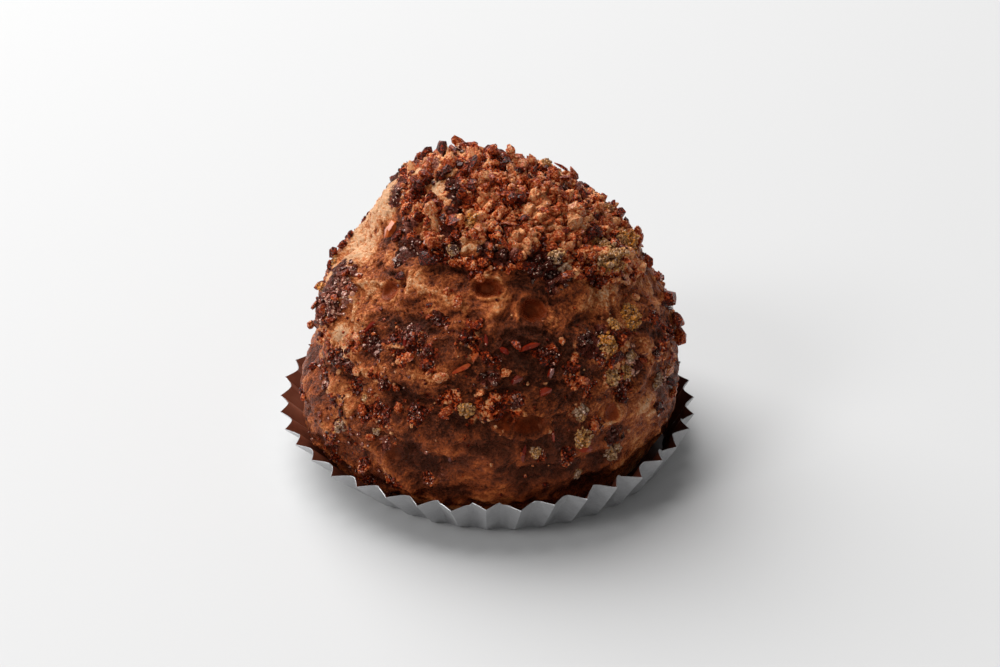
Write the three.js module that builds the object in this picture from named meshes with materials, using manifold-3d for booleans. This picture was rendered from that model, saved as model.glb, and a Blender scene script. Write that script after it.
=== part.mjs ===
// A choux cream puff crusted with chopped nuts and caramelised sugar, sitting in a shallow pleated paper case.
// Millimetres, +Z up. The origin is the middle of the case's underside, and -Y is the front of the puff.
// Azimuths are degrees round the puff from its front, positive towards +X.
import * as THREE from "three";
import { mergeVertices } from "three/addons/utils/BufferGeometryUtils.js";
import Module from "manifold-3d";

const wasm = await Module();
wasm.setup();

// Paper case
const PAPER = 0.3; // thickness of the paper
const PLEATS = 40;
const CASE_HEIGHT = 9.8;
const CASE_BASE_RADIUS = 33;
const CASE_RIM_RADIUS = 42; // out to the tips of the folds
const PLEAT_DEPTH = 2.7; // from the tip of a fold to its root, at the rim
const PLEAT_BASE_SHARE = 0.25; // how much of that depth a fold has where it leaves the base
const PLEAT_UNEVENNESS = 0.22; // how much one fold's depth differs from the next
const RIM_UNEVENNESS = 0.35; // how much one fold's height differs from the next
const RIM_LIFT = { azimuth: -115, reach: 14, rise: 1.2 }; // the rim stands up a little at the back on the left
const BASE_BEND = 1.2; // rounding where the base turns up into the wall
const WALL_ROWS = 2;
const SIDES_PER_PLEAT = 4; // tip, slope, root, slope

// Puff
const PUFF_GAP = 0.3; // between the puff's foot and the paper
const PUFF_FLOOR = PAPER + PUFF_GAP;
const PUFF_TOP = 61.2;
const PUFF_RADIUS = 37.3;
const PUFF_WIDEST_AT = 17.7; // height of the widest ring
const PUFF_FOOT_RADIUS = 30.5;
const PUFF_SHIFT = 0.8; // the puff sits a little to the right of the case's middle
const PUFF_ROUNDNESS = 1.75; // 2 is an ellipse, lower is more pointed
const PUFF_CORE_HEIGHT = 22; // swelling and dents push towards and away from this point of the axis
const PUFF_CALM = 8; // height over which the shell's relief dies away towards its flat foot
const PUFF_SIDES = 60;
const PUFF_FOOT_RINGS = 6;
const PUFF_DOME_RINGS = 20;

// Swellings (rise above 0) and hollows (below 0) of the baked shell: where, how far they spread, and how high
const SWELLINGS = [
  { azimuth: -75, height: 49, reach: 9, rise: -1.1 }, // bare slope on the upper left
  { azimuth: -78, height: 37, reach: 5, rise: 1.6 }, // knob on the left
  { azimuth: -82, height: 28, reach: 5, rise: -1.8 }, // notch under the knob
  { azimuth: -60, height: 14, reach: 10, rise: 1.6 }, // lower left bulge
  { azimuth: -120, height: 59, reach: 8, rise: 1.8 }, // crown, left of the middle
  { azimuth: 75, height: 59, reach: 9, rise: -1.4 }, // crown falls away to the right
  { azimuth: 78, height: 32, reach: 9, rise: 1.4 }, // right shoulder
  { azimuth: 50, height: 10, reach: 9, rise: -1.2 }, // lower right tucks in
  { azimuth: 10, height: 37, reach: 9, rise: 0.9 }, // front shoulder
  { azimuth: -20, height: 14, reach: 11, rise: 0.8 }, // lower front bulge
  { azimuth: 150, height: 26, reach: 12, rise: 1.6 }, // back bulge
  { azimuth: -150, height: 16, reach: 10, rise: 1.2 }, // lower back bulge
  { azimuth: 165, height: 46, reach: 9, rise: -1.3 }, // slope at the back
  { azimuth: -43, height: 44.8, reach: 2.4, rise: -1.6 }, // burst blisters from here on
  { azimuth: 3, height: 46.5, reach: 3.6, rise: -1.3 },
  { azimuth: 19, height: 43.6, reach: 2.8, rise: -1.9 },
  { azimuth: 11, height: 25, reach: 3.4, rise: -1.9 },
  { azimuth: 118, height: 38, reach: 3, rise: -1.7 },
  { azimuth: -118, height: 27, reach: 3.2, rise: -1.7 },
];

// Creases that run round the shell where it tore and spread as it rose
const CREASES = [
  { height: 46.5, drop: 7, depth: 1.3, width: 3.4 }, // under the crown
  { height: 25.5, drop: 2, depth: 0.8, width: 3 }, // above the foot
];
const CREASE_DROP_AT = 80; // azimuth at which a crease has sunk by its drop

// Chopped nuts and sugar
const CRUMB_SEED = 20;
const CRUMB_TRIES = 330;
const CRUMB_LOWEST = 13;
const CRUMB_LENGTH = [2.6, 5.6]; // shortest and longest
const CRUMB_FLATNESS = [0.6, 0.95]; // width as a share of the length, and thickness as a share of the width
const CRUMB_CORNER_LOSS = 0.45; // how far a corner may be chopped back towards the middle
const CRUMB_TILT = 30; // most that a crumb leans away from lying flat
const CRUMB_SINK = 0.3; // how deep a crumb sits in the shell, as a share of its thickness
const CROWN_EDGE = 49; // crumbs cover the crown above this height
const CROWN_EDGE_DROP = 9; // how much lower that edge is on the right
const CROWN_EDGE_BLUR = 3; // over which the crown's cover fades out
const CRUMB_BANDS = [
  { height: 33, width: 4, cover: 0.75 }, // round the shoulder
  { height: 19, width: 5, cover: 0.35 }, // stray crumbs low down
];
const CRUMB_KNOB = { azimuth: -76, height: 38, reach: 4 }; // a clump on the left
const BARE_SLOPE = { azimuth: -68, height: 49, reach: 6 }; // no crumbs on the upper left
const DEGREES_PER_MM = 2; // round the shell, about
const GOLDEN_ANGLE = 137.50776; // spreads the tries evenly

const CRUST_COLOUR = 0x8a4e28;
const PAPER_COLOUR = 0xc9c6c2;

// A repeatable stream of numbers from 0 to 1
function seeded(seed) {
  let state = seed;
  return () => {
    state = (state * 1664525 + 1013904223) % 4294967296;
    return state / 4294967296;
  };
}

const radians = THREE.MathUtils.degToRad;
const mix = THREE.MathUtils.lerp;
const smoothstep = THREE.MathUtils.smoothstep;
const bell = (distance, reach) => Math.exp((-distance * distance) / (2 * reach * reach));

const SAME_POINT = 1e-3; // corners closer than this are one

// A closed geometry as a solid: positions alone, shared corners merged, collapsed triangles dropped
function solidOf(geometry) {
  const bare = new THREE.BufferGeometry();
  bare.setAttribute("position", geometry.getAttribute("position").clone());
  bare.setIndex(geometry.index ? geometry.index.clone() : null);
  const merged = mergeVertices(bare, SAME_POINT);
  const kept = [];
  for (let i = 0; i < merged.index.count; i += 3) {
    const [a, b, c] = merged.index.array.slice(i, i + 3);
    if (a !== b && b !== c && a !== c) kept.push(a, b, c);
  }
  const vertProperties = new Float32Array(merged.getAttribute("position").array);
  return new wasm.Manifold(new wasm.Mesh({ numProp: 3, vertProperties, triVerts: new Uint32Array(kept) }));
}

// The solid's triangles back as a geometry
function geometryOf(solid) {
  const mesh = solid.getMesh();
  const geometry = new THREE.BufferGeometry();
  geometry.setAttribute("position", new THREE.BufferAttribute(mesh.vertProperties.slice(), 3));
  geometry.setIndex(new THREE.BufferAttribute(mesh.triVerts.slice(), 1));
  geometry.computeVertexNormals();
  return geometry;
}

// A turned shape: the profile's x is the radius and its y the height, and shape(point) then moves each point
function turned(profile, sides, shape) {
  const geometry = new THREE.LatheGeometry(profile, sides);
  geometry.rotateX(Math.PI / 2);
  const position = geometry.getAttribute("position");
  const point = new THREE.Vector3();
  for (let i = 0; i < position.count; i += 1) {
    point.fromBufferAttribute(position, i);
    shape(point);
    position.setXYZ(i, point.x, point.y, point.z);
  }
  return geometry;
}

// Degrees round the axis from the front, positive towards +X
const azimuthOf = (point) => THREE.MathUtils.radToDeg(Math.atan2(point.x, -point.y));

function paperCase() {
  const foldMiddle = CASE_RIM_RADIUS - PLEAT_DEPTH / 2;
  const wall = (share) => new THREE.Vector2(mix(CASE_BASE_RADIUS, foldMiddle, share), CASE_HEIGHT * share);
  const outer = [new THREE.Vector2(0, 0), new THREE.Vector2(CASE_BASE_RADIUS - BASE_BEND, 0)];
  for (let row = 0; row <= WALL_ROWS; row += 1) {
    outer.push(wall(mix(BASE_BEND / CASE_HEIGHT, 1, row / WALL_ROWS)));
  }
  const inner = outer.map(({ x, y }) => {
    const onBase = y === 0;
    return new THREE.Vector2(onBase ? Math.max(0, x - PAPER / 2) : x - PAPER, onBase ? PAPER : y);
  });
  const profile = [...outer, ...inner.reverse()];

  const random = seeded(PLEATS);
  const folds = Array.from({ length: PLEATS }, () => ({
    depth: 1 + PLEAT_UNEVENNESS * (2 * random() - 1),
    height: RIM_UNEVENNESS * (2 * random() - 1),
  }));
  return turned(profile, PLEATS * SIDES_PER_PLEAT, (point) => {
    const turn = ((azimuthOf(point) + 360) % 360) / (360 / PLEATS);
    const fold = folds[Math.round(turn) % PLEATS];
    const wave = 4 * Math.abs(turn - Math.round(turn)) - 1; // -1 at a tip, 1 at a root
    const radius = Math.hypot(point.x, point.y);
    const up = point.z / CASE_HEIGHT;
    const onWall = smoothstep(radius, CASE_BASE_RADIUS - 2 * BASE_BEND, CASE_BASE_RADIUS);
    const depth = (PLEAT_DEPTH / 2) * mix(PLEAT_BASE_SHARE, 1, up) * fold.depth * onWall;
    if (radius > 0) {
      point.x *= 1 - (wave * depth) / radius;
      point.y *= 1 - (wave * depth) / radius;
    }
    const lift = RIM_LIFT.rise * bell(azimuthOf(point) - RIM_LIFT.azimuth, RIM_LIFT.reach);
    point.z += (fold.height + lift) * up * up * onWall;
  });
}

// Radius of the smooth dome at a height
function domeRadius(height) {
  if (height < PUFF_WIDEST_AT) {
    const down = (PUFF_WIDEST_AT - height) / (PUFF_WIDEST_AT - PUFF_FLOOR);
    return PUFF_RADIUS - (PUFF_RADIUS - PUFF_FOOT_RADIUS) * down * down;
  }
  const up = Math.min(1, (height - PUFF_WIDEST_AT) / (PUFF_TOP - PUFF_WIDEST_AT));
  return PUFF_RADIUS * (1 - up ** PUFF_ROUNDNESS) ** (1 / PUFF_ROUNDNESS);
}

function domePoint(azimuth, height) {
  const radius = domeRadius(height);
  return new THREE.Vector3(radius * Math.sin(radians(azimuth)), -radius * Math.cos(radians(azimuth)), height);
}

for (const swelling of SWELLINGS) swelling.middle = domePoint(swelling.azimuth, swelling.height);

// How far a crease or the crown's edge has sunk at this azimuth: 0 on the left, 1 on the right
const sunk = (azimuth) => smoothstep(azimuth, 0, CREASE_DROP_AT) * smoothstep(180 - azimuth, 0, CREASE_DROP_AT);

// How far the shell stands out from the smooth dome at a point of it
function shellRelief(point) {
  const azimuth = azimuthOf(point);
  let rise = 0;
  for (const { middle, reach, rise: top } of SWELLINGS) rise += top * bell(point.distanceTo(middle), reach);
  for (const { height, drop, depth, width } of CREASES) {
    rise -= depth * bell(point.z - height + drop * sunk(azimuth), width);
  }
  return rise * smoothstep(point.z, PUFF_FLOOR, PUFF_FLOOR + PUFF_CALM);
}

// Moves a point of the smooth dome onto the swollen shell, and returns the way out of the shell there
function swell(point) {
  const outward = new THREE.Vector3(point.x, point.y, point.z - PUFF_CORE_HEIGHT).normalize();
  point.addScaledVector(outward, shellRelief(point));
  point.x += PUFF_SHIFT;
  return outward;
}

function puffShell() {
  const profile = [new THREE.Vector2(0, PUFF_FLOOR)];
  for (let ring = 0; ring < PUFF_FOOT_RINGS; ring += 1) {
    const height = mix(PUFF_FLOOR, PUFF_WIDEST_AT, ring / PUFF_FOOT_RINGS);
    profile.push(new THREE.Vector2(domeRadius(height), height));
  }
  for (let ring = 0; ring <= PUFF_DOME_RINGS; ring += 1) {
    const height = mix(PUFF_WIDEST_AT, PUFF_TOP, Math.sin((Math.PI / 2) * (ring / PUFF_DOME_RINGS)));
    profile.push(new THREE.Vector2(domeRadius(height), height));
  }
  return turned(profile, PUFF_SIDES, swell);
}

// Share of the shell that crumbs cover: all of the crown, bands below it, none of the bare slope
function crumbCover(azimuth, height) {
  const edge = CROWN_EDGE - CROWN_EDGE_DROP * sunk(azimuth);
  const patch = (at) => bell(Math.hypot((azimuth - at.azimuth) / DEGREES_PER_MM, height - at.height), at.reach);
  let cover = smoothstep(height, edge - CROWN_EDGE_BLUR / 2, edge + CROWN_EDGE_BLUR / 2);
  for (const band of CRUMB_BANDS) cover += band.cover * bell(height - band.height, band.width);
  return Math.max(patch(CRUMB_KNOB), cover * (1 - patch(BARE_SLOPE)));
}

// One crumb: an angular chip with uneven corners, longer than it is wide and wider than it is thick
function crumb(middle, outward, random) {
  const length = mix(...CRUMB_LENGTH, random() ** 2);
  const width = length * mix(...CRUMB_FLATNESS, random());
  const thickness = width * mix(...CRUMB_FLATNESS, random());
  const block = new THREE.BoxGeometry(length, width, thickness);
  block.deleteAttribute("normal");
  block.deleteAttribute("uv");
  const chip = mergeVertices(block);
  const corner = chip.getAttribute("position");
  for (let i = 0; i < corner.count; i += 1) {
    const shrink = () => 1 - CRUMB_CORNER_LOSS * random();
    corner.setXYZ(i, corner.getX(i) * shrink(), corner.getY(i) * shrink(), corner.getZ(i) * shrink());
  }
  const lie = new THREE.Quaternion().setFromUnitVectors(new THREE.Vector3(0, 0, 1), outward);
  const tilt = () => radians(CRUMB_TILT) * (2 * random() - 1);
  lie.multiply(new THREE.Quaternion().setFromEuler(new THREE.Euler(tilt(), tilt(), 2 * Math.PI * random())));
  chip.applyQuaternion(lie);
  const seat = middle.clone().addScaledVector(outward, thickness * (0.5 - CRUMB_SINK));
  chip.translate(seat.x, seat.y, seat.z);
  return solidOf(chip);
}

// The shell with its crumbs baked on: evenly spread tries, kept where the crust has crumbs
function crustedPuff() {
  const random = seeded(CRUMB_SEED);
  let puff = solidOf(puffShell());
  for (let i = 0; i < CRUMB_TRIES; i += 1) {
    const height = mix(CRUMB_LOWEST, PUFF_TOP - 0.1, (i + 0.5) / CRUMB_TRIES);
    const azimuth = ((i * GOLDEN_ANGLE) % 360) - 180;
    if (random() > crumbCover(azimuth, height)) continue;
    const middle = domePoint(azimuth, height);
    const outward = swell(middle);
    puff = puff.add(crumb(middle, outward, random));
  }
  // Crumbs that touch can close a bubble between them: the outer skin alone is the puff
  const bodies = puff.decompose().sort((a, b) => b.volume() - a.volume());
  return geometryOf(bodies[0]);
}

function part(name, geometry, color, roughness) {
  const mesh = new THREE.Mesh(geometry, new THREE.MeshStandardMaterial({ color, roughness, metalness: 0 }));
  mesh.name = name;
  return mesh;
}

const creamPuff = new THREE.Group();
creamPuff.add(part("paper_case", geometryOf(solidOf(paperCase())), PAPER_COLOUR, 0.55));
creamPuff.add(part("puff", crustedPuff(), CRUST_COLOUR, 0.7));

export default creamPuff;
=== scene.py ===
# %% [markdown]
# A cream puff in a paper case
#
# A choux puff is a crisp dome of baked dough. This one is crusted with chopped nuts and burnt sugar, and
# sits in a shallow pleated paper case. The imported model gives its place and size, and this script dresses
# it: a wrinkled shell, several kinds of crumbs stuck to it, and a two-sided paper. Lengths are worked out
# in millimetres and turned into Blender's metres when a mesh is made.

import math
import random
from collections import namedtuple

import bmesh
import bpy
import numpy as np
from mathutils import Matrix, Vector, noise
from mathutils.kdtree import KDTree


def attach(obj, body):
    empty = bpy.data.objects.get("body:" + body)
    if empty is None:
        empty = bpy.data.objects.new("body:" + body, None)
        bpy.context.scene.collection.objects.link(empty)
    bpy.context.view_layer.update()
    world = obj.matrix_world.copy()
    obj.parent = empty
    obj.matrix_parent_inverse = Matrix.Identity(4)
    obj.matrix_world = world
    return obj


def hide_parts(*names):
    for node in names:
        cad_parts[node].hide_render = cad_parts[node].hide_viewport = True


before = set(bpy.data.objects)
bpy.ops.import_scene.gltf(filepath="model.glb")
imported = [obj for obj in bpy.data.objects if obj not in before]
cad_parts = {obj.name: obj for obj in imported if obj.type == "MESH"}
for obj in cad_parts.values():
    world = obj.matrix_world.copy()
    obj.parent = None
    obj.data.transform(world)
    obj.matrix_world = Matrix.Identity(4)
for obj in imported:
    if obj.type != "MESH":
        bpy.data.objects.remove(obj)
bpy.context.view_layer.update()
MM = 0.001


# %% [markdown]
# The camera comes first, because some crumbs are placed by where the picture shows them, so the script
# works out at which pixel a point appears. A short telephoto from about half a metre, looking 30 degrees
# down, gives the same foreshortening of the round paper rim as the picture has.

# %% Camera
IMAGE_WIDTH, IMAGE_HEIGHT = 1000, 667
LENS_MM = 85.0
SENSOR_MM = 36.0
CAMERA_DISTANCE = 470.0
CAMERA_ELEVATION = 29.8
CAMERA_TARGET = Vector((2.6, 0.0, 24.3))


def add(name, data):
    """A new object in the scene."""
    thing = bpy.data.objects.new(name, data)
    bpy.context.scene.collection.objects.link(thing)
    return thing


lift = math.radians(CAMERA_ELEVATION)
camera_place = CAMERA_TARGET + CAMERA_DISTANCE * Vector((0.0, -math.cos(lift), math.sin(lift)))
camera_turn = (CAMERA_TARGET - camera_place).to_track_quat("-Z", "Y")
camera_data = bpy.data.cameras.new("camera")
camera_data.lens = LENS_MM
camera_data.sensor_width = SENSOR_MM
camera = add("camera", camera_data)
camera.location = camera_place * MM
camera.rotation_euler = camera_turn.to_euler()
bpy.context.scene.camera = camera


def picture_of(points):
    """Pixels where the camera shows points, given in mm."""
    turn = np.array(camera_turn.to_matrix())
    seen = (points - np.array(camera_place)) @ turn
    per_pixel = SENSOR_MM / LENS_MM / IMAGE_WIDTH
    across = IMAGE_WIDTH / 2 - seen[:, 0] / seen[:, 2] / per_pixel
    down = IMAGE_HEIGHT / 2 + seen[:, 1] / seen[:, 2] / per_pixel
    return np.stack([across, down], axis=1)


print("camera at", [round(v) for v in camera_place], "mm")

# %% [markdown]
# Every finish here is a pattern, and a pattern is arithmetic on noise. Its nodes could be linked one by one,
# but shader maths reads best as ordinary expressions. This small class wraps a node's output socket, so
# that adding or multiplying two of them adds a Math node, and its node method makes any other node.


# %% Shader values
class Shade:
    """A shader value that + - * work on. An empty one is a starting point for node()."""

    def __init__(self, tree, socket=None):
        self.tree = tree
        self.socket = socket

    def node(self, kind, settings=None, inputs=None, output=0):
        """Adds a node: its settings first, then values or links for its sockets."""
        made = self.tree.nodes.new(kind)
        for name, value in (settings or {}).items():
            if name == "stops":
                for _ in value[2:]:
                    made.color_ramp.elements.new(0.5)
                for element, (place, colour) in zip(made.color_ramp.elements, value):
                    element.position = place
                    element.color = colour
            else:
                setattr(made, name, value)
        for name, value in (inputs or {}).items():
            if isinstance(value, Shade):
                self.tree.links.new(value.socket, made.inputs[name])
            else:
                made.inputs[name].default_value = value
        return Shade(self.tree, made.outputs[output])

    def math(self, operation, *values, clamp=False):
        settings = {"operation": operation, "use_clamp": clamp}
        return self.node("ShaderNodeMath", settings, dict(enumerate(values)))

    def __add__(self, other):
        return self.math("ADD", self, other)

    def __sub__(self, other):
        return self.math("SUBTRACT", self, other)

    def __rsub__(self, other):
        return self.math("SUBTRACT", other, self)

    def __mul__(self, other):
        return self.math("MULTIPLY", self, other)

    __radd__ = __add__
    __rmul__ = __mul__

    def clamped(self):
        return self.math("ADD", self, 0.0, clamp=True)

    def between(self, low, high):
        """0 below low, 1 above high, and smooth from one to the other."""
        settings = {"interpolation_type": "SMOOTHSTEP"}
        return self.node("ShaderNodeMapRange", settings, {"Value": self, "From Min": low, "From Max": high})

    def blend(self, first, second):
        """The first colour where this value is 0, the second where it is 1."""
        return self.node("ShaderNodeMix", {"data_type": "RGBA"}, {0: self, 6: first, 7: second}, output=2)

    def ramp(self, *stops):
        return self.node("ShaderNodeValToRGB", {"stops": stops}, {"Fac": self})


# %% Finishes and their patterns
def srgb(red, green, blue):
    """A colour as a picture program shows it, from 0 to 255, as the light that Blender counts."""

    def linear(part):
        part /= 255
        return part / 12.92 if part <= 0.04045 else ((part + 0.055) / 1.055) ** 2.4

    return (linear(red), linear(green), linear(blue), 1.0)


def finish(name, **constants):
    """A new material, its Principled node and an empty Shade. Constants go on the node's own sockets."""
    material = bpy.data.materials.new(name)
    material.use_nodes = True
    principled = material.node_tree.nodes["Principled BSDF"]
    for socket, value in constants.items():
        principled.inputs[socket.replace("_", " ")].default_value = value
    print("finish:", name)
    return material, principled, Shade(material.node_tree)


def feed(principled, **values):
    """Links shader values to the Principled node's sockets."""
    for socket, value in values.items():
        value.tree.links.new(value.socket, principled.inputs[socket.replace("_", " ")])


def attribute(shade, name):
    return shade.node("ShaderNodeAttribute", {"attribute_name": name}, output="Fac")


def per_metre(size_mm):
    """Texture scale that makes features of about this size."""
    return 1 / (size_mm * MM)


def cloud(shade, size_mm, detail=3.0, roughness=0.55, distortion=0.0, vector=None):
    """Cloudy noise from 0 to 1 on the piece's own coordinates."""
    if vector is None:
        vector = shade.node("ShaderNodeTexCoord", output="Object")
    inputs = {
        "Vector": vector,
        "Scale": per_metre(size_mm),
        "Detail": detail,
        "Roughness": roughness,
        "Distortion": distortion,
    }
    return shade.node("ShaderNodeTexNoise", None, inputs)


def bump(shade, height, depth_mm, strength=1.0):
    inputs = {"Height": height, "Distance": depth_mm * MM, "Strength": strength}
    return shade.node("ShaderNodeBump", None, inputs)


# %% [markdown]
# The shell is a dome that swelled and tore in the oven. It could be sculpted from a ball, but the part's
# solid has the same dome, swellings and creases, so these are the same numbers: height, width, and a list of
# bulges and hollows, each with its azimuth round the puff from the front, its height, how far it spreads and
# how high it rises.

# %% Form of the shell
SHELL_FLOOR = 0.6
SHELL_TOP = 61.2
SHELL_RADIUS = 37.3
SHELL_WIDEST_AT = 17.7
SHELL_FOOT_RADIUS = 30.5
SHELL_SHIFT = 0.8
SHELL_ROUNDNESS = 1.75
FOOT_ROUNDNESS = 2.6


def bell(distance, reach):
    return np.exp(-0.5 * (distance / reach) ** 2)


def smoothstep(value, low, high):
    share = np.clip((value - low) / (high - low), 0.0, 1.0)
    return share * share * (3 - 2 * share)


def dome_radius(height):
    down = np.clip((SHELL_WIDEST_AT - height) / (SHELL_WIDEST_AT - SHELL_FLOOR), 0.0, 1.0)
    up = np.clip((height - SHELL_WIDEST_AT) / (SHELL_TOP - SHELL_WIDEST_AT), 0.0, 1.0)
    below = SHELL_RADIUS - (SHELL_RADIUS - SHELL_FOOT_RADIUS) * down**FOOT_ROUNDNESS
    above = SHELL_RADIUS * (1 - up**SHELL_ROUNDNESS) ** (1 / SHELL_ROUNDNESS)
    return np.where(height < SHELL_WIDEST_AT, below, above)


SAMPLE_HEIGHTS = np.array((SHELL_FLOOR, 20, 40, 60))
print("dome radius at the foot and at 20, 40 and 60 mm:", np.round(dome_radius(SAMPLE_HEIGHTS), 1))

# %% Swellings and creases
SWELLINGS = [
    (-75, 49, 9, -1.1),  # bare slope on the upper left
    (-78, 37, 5, 1.6),  # knob on the left
    (-82, 28, 5, -1.8),  # notch under the knob
    (-60, 14, 10, 1.6),  # lower left bulge
    (-120, 59, 8, 1.8),  # crown, left of the middle
    (75, 59, 9, -1.4),  # crown falls away to the right
    (78, 32, 9, 1.4),  # right shoulder
    (50, 10, 9, -1.2),  # lower right tucks in
    (10, 37, 9, 0.9),  # front shoulder
    (-20, 14, 11, 0.8),  # lower front bulge
    (150, 26, 12, 1.6),  # back bulge
    (-150, 16, 10, 1.2),  # lower back bulge
    (165, 46, 9, -1.3),  # slope at the back
]
CREASES = [(46.5, 7.0, 1.3, 3.4), (25.5, 2.0, 0.8, 3.0)]  # height, drop on the right, depth, width
CREASE_DROP_AT = 80.0


def azimuth_of(points):
    return np.degrees(np.arctan2(points[:, 0], -points[:, 1]))


def dome_point(azimuth, height):
    turn = math.radians(azimuth)
    radius = float(dome_radius(np.float64(height)))
    return np.array((radius * math.sin(turn), -radius * math.cos(turn), height))


def away_from(points, azimuth, height):
    """Distance of each point from one place on the dome."""
    return np.linalg.norm(points - dome_point(azimuth, height), axis=1)


def sunk(azimuth):
    """How far a crease or the crown's edge has sunk: 0 on the left, 1 on the right."""
    return smoothstep(azimuth, 0, CREASE_DROP_AT) * smoothstep(180 - azimuth, 0, CREASE_DROP_AT)


def baked_swelling(points):
    """How far the shell stands out from the smooth dome."""
    rise = np.zeros(len(points))
    for azimuth, height, reach, top in SWELLINGS:
        rise += top * bell(away_from(points, azimuth, height), reach)
    for height, drop, depth, width in CREASES:
        rise -= depth * bell(points[:, 2] - height + drop * sunk(azimuth_of(points)), width)
    return rise


print("swellings and hollows:", len(SWELLINGS), "creases:", len(CREASES))

# %% [markdown]
# The shell has fine detail all over. A ball would crowd its faces at the poles, so the shell is made of five
# grids with faces of a quarter millimetre: four walls round the side and a round cap on top. Each corner is
# a direction from a point inside the puff, and goes out along it to the dome. Neighbours share the corners
# along their borders, so no seam shows. A disc closes the foot.

# %% Grids round the side
GRID = 240
MESH_CORE = np.array((0.0, 0.0, 30.0))
CAP_ELEVATION = 42.0
FOOT_RING = 29.6
WALLS = {"shell_front": 0, "shell_right": 90, "shell_back": 180, "shell_left": 270}
foot_elevation = -math.degrees(math.atan2(MESH_CORE[2] - SHELL_FLOOR, FOOT_RING))


def mesh_from(form, name):
    """A mesh with the faces of a bmesh, which it frees."""
    mesh = bpy.data.meshes.new(name)
    form.to_mesh(mesh)
    form.free()
    return mesh


def grid_mesh(name):
    form = bmesh.new()
    bmesh.ops.create_grid(form, x_segments=GRID, y_segments=GRID, size=1.0)
    return mesh_from(form, name)


def per_corner(mesh, what):
    """Places or normals of a mesh's corners, one row each."""
    flat = np.empty(3 * len(mesh.vertices))
    mesh.vertices.foreach_get(what, flat)
    return flat.reshape(-1, 3)


def toward(azimuth, elevation):
    """Directions from angles in degrees."""
    turn, rise = np.radians(azimuth), np.radians(elevation)
    return np.stack([np.cos(rise) * np.sin(turn), -np.cos(rise) * np.cos(turn), np.sin(rise)], axis=1)


shell_meshes = []
directions = []
for name, middle in WALLS.items():
    mesh = grid_mesh(name)
    across, up, _ = per_corner(mesh, "co").T
    elevation = foot_elevation + (CAP_ELEVATION - foot_elevation) * (up + 1) / 2
    directions.append(toward(middle + 45 * across, elevation))
    shell_meshes.append(mesh)
print("walls:", len(shell_meshes), "with", len(directions[0]), "corners each")

# %% Cap on top
# Squares round the middle of the cap's grid become circles, and its border meets the walls' top corners
cap = grid_mesh("shell_cap")
across, up, _ = per_corner(cap, "co").T
ring = np.maximum(np.abs(across), np.abs(up))
sideways = np.abs(across) > np.abs(up)
share = np.where(sideways, up, across) / np.where(ring == 0, 1, ring)
quarter = np.where(sideways, np.where(across > 0, 90, 270), np.where(up > 0, 180, 0))
way = np.where(sideways, np.sign(across), -np.sign(up))
directions.append(toward(quarter + 45 * share * way, 90 - (90 - CAP_ELEVATION) * ring))
shell_meshes.append(cap)
directions = np.concatenate(directions)
print("directions with the cap:", len(directions))

# %% Corners on the dome
HALVINGS = 24


def onto_dome(directions):
    """The dome's point along each direction, found by halving."""
    near = np.zeros((len(directions), 1))
    far = np.full((len(directions), 1), 2 * SHELL_TOP)
    for _ in range(HALVINGS):
        middle = (near + far) / 2
        points = MESH_CORE + directions * middle
        within = np.hypot(points[:, 0], points[:, 1]) < dome_radius(points[:, 2])
        inside = (within & (points[:, 2] > SHELL_FLOOR))[:, None]
        near = np.where(inside, middle, near)
        far = np.where(inside, far, middle)
    return MESH_CORE + directions * near


dome = onto_dome(directions)
azimuths = azimuth_of(dome)
heights = dome[:, 2]
print("shell:", len(shell_meshes), "grids,", len(dome), "corners")

# %% [markdown]
# Two patterns shape the surface. Cloudy noise adds up waves of several sizes. Gravel splits space into
# cells, one to a crumb, and each cell has its own numbers, its middle and its distance from the next one.
# Blender's textures could displace the shell, but here the same patterns also decide where crumbs lie, so
# they are worked out for all corners at once. Both come from a hash, which turns the whole-numbered corners
# of a lattice into repeatable chance.

# %% Cloudy noise
EDGE_WAYS = [way for way in np.ndindex(3, 3, 3) if sorted(way).count(1) == 1]
GRADIENTS = np.array(EDGE_WAYS, dtype=float) - 1
HASH_X, HASH_Y, HASH_Z, HASH_MIX = (np.uint32(k) for k in (73856093, 19349663, 83492791, 1540483477))
HASH_SALT = 2654435761


def hashed(cells, salt):
    """A repeatable number up to 2 to the 32 for each lattice cell."""
    x, y, z = (cells[:, k].astype(np.uint32) for k in range(3))
    mixed = x * HASH_X ^ y * HASH_Y ^ z * HASH_Z ^ np.uint32(salt * HASH_SALT % 2**32)
    mixed = (mixed ^ mixed >> np.uint32(13)) * HASH_MIX
    return mixed ^ mixed >> np.uint32(15)


def wave(points, salt):
    """Smooth noise with one bump to a lattice cell."""
    corner = np.floor(points)
    cells = corner.astype(np.int64)
    inner = points - corner
    ease = inner**3 * (inner * (inner * 6 - 15) + 10)
    total = np.zeros(len(points))
    for step in np.ndindex(2, 2, 2):
        pull = GRADIENTS[hashed(cells + step, salt) % len(GRADIENTS)]
        weight = np.prod(np.where(step, ease, 1 - ease), axis=1)
        total += weight * ((inner - step) * pull).sum(axis=1)
    return total


def rough(size, octaves=3, salt=0, points=None):
    """Cloudy noise of about -1 to 1, with lumps of this size in mm."""
    points = dome if points is None else points
    return sum(wave(points * 2**k / size + 5.3 * salt, salt + k) / 2**k for k in range(octaves))


print("cloudy noise from", round(rough(5.0).min(), 2), "to", round(rough(5.0).max(), 2))

# %% Gravel
BITS, LARGEST = 10, 1023
BEYOND_ALL = 9.0


def thirds(marks, first_bit):
    """Three numbers from 0 to 1 out of the bits of each mark."""
    parts = [marks >> np.uint32(first_bit + BITS * k) & np.uint32(LARGEST) for k in range(3)]
    return np.stack(parts, axis=1) / LARGEST


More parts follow.
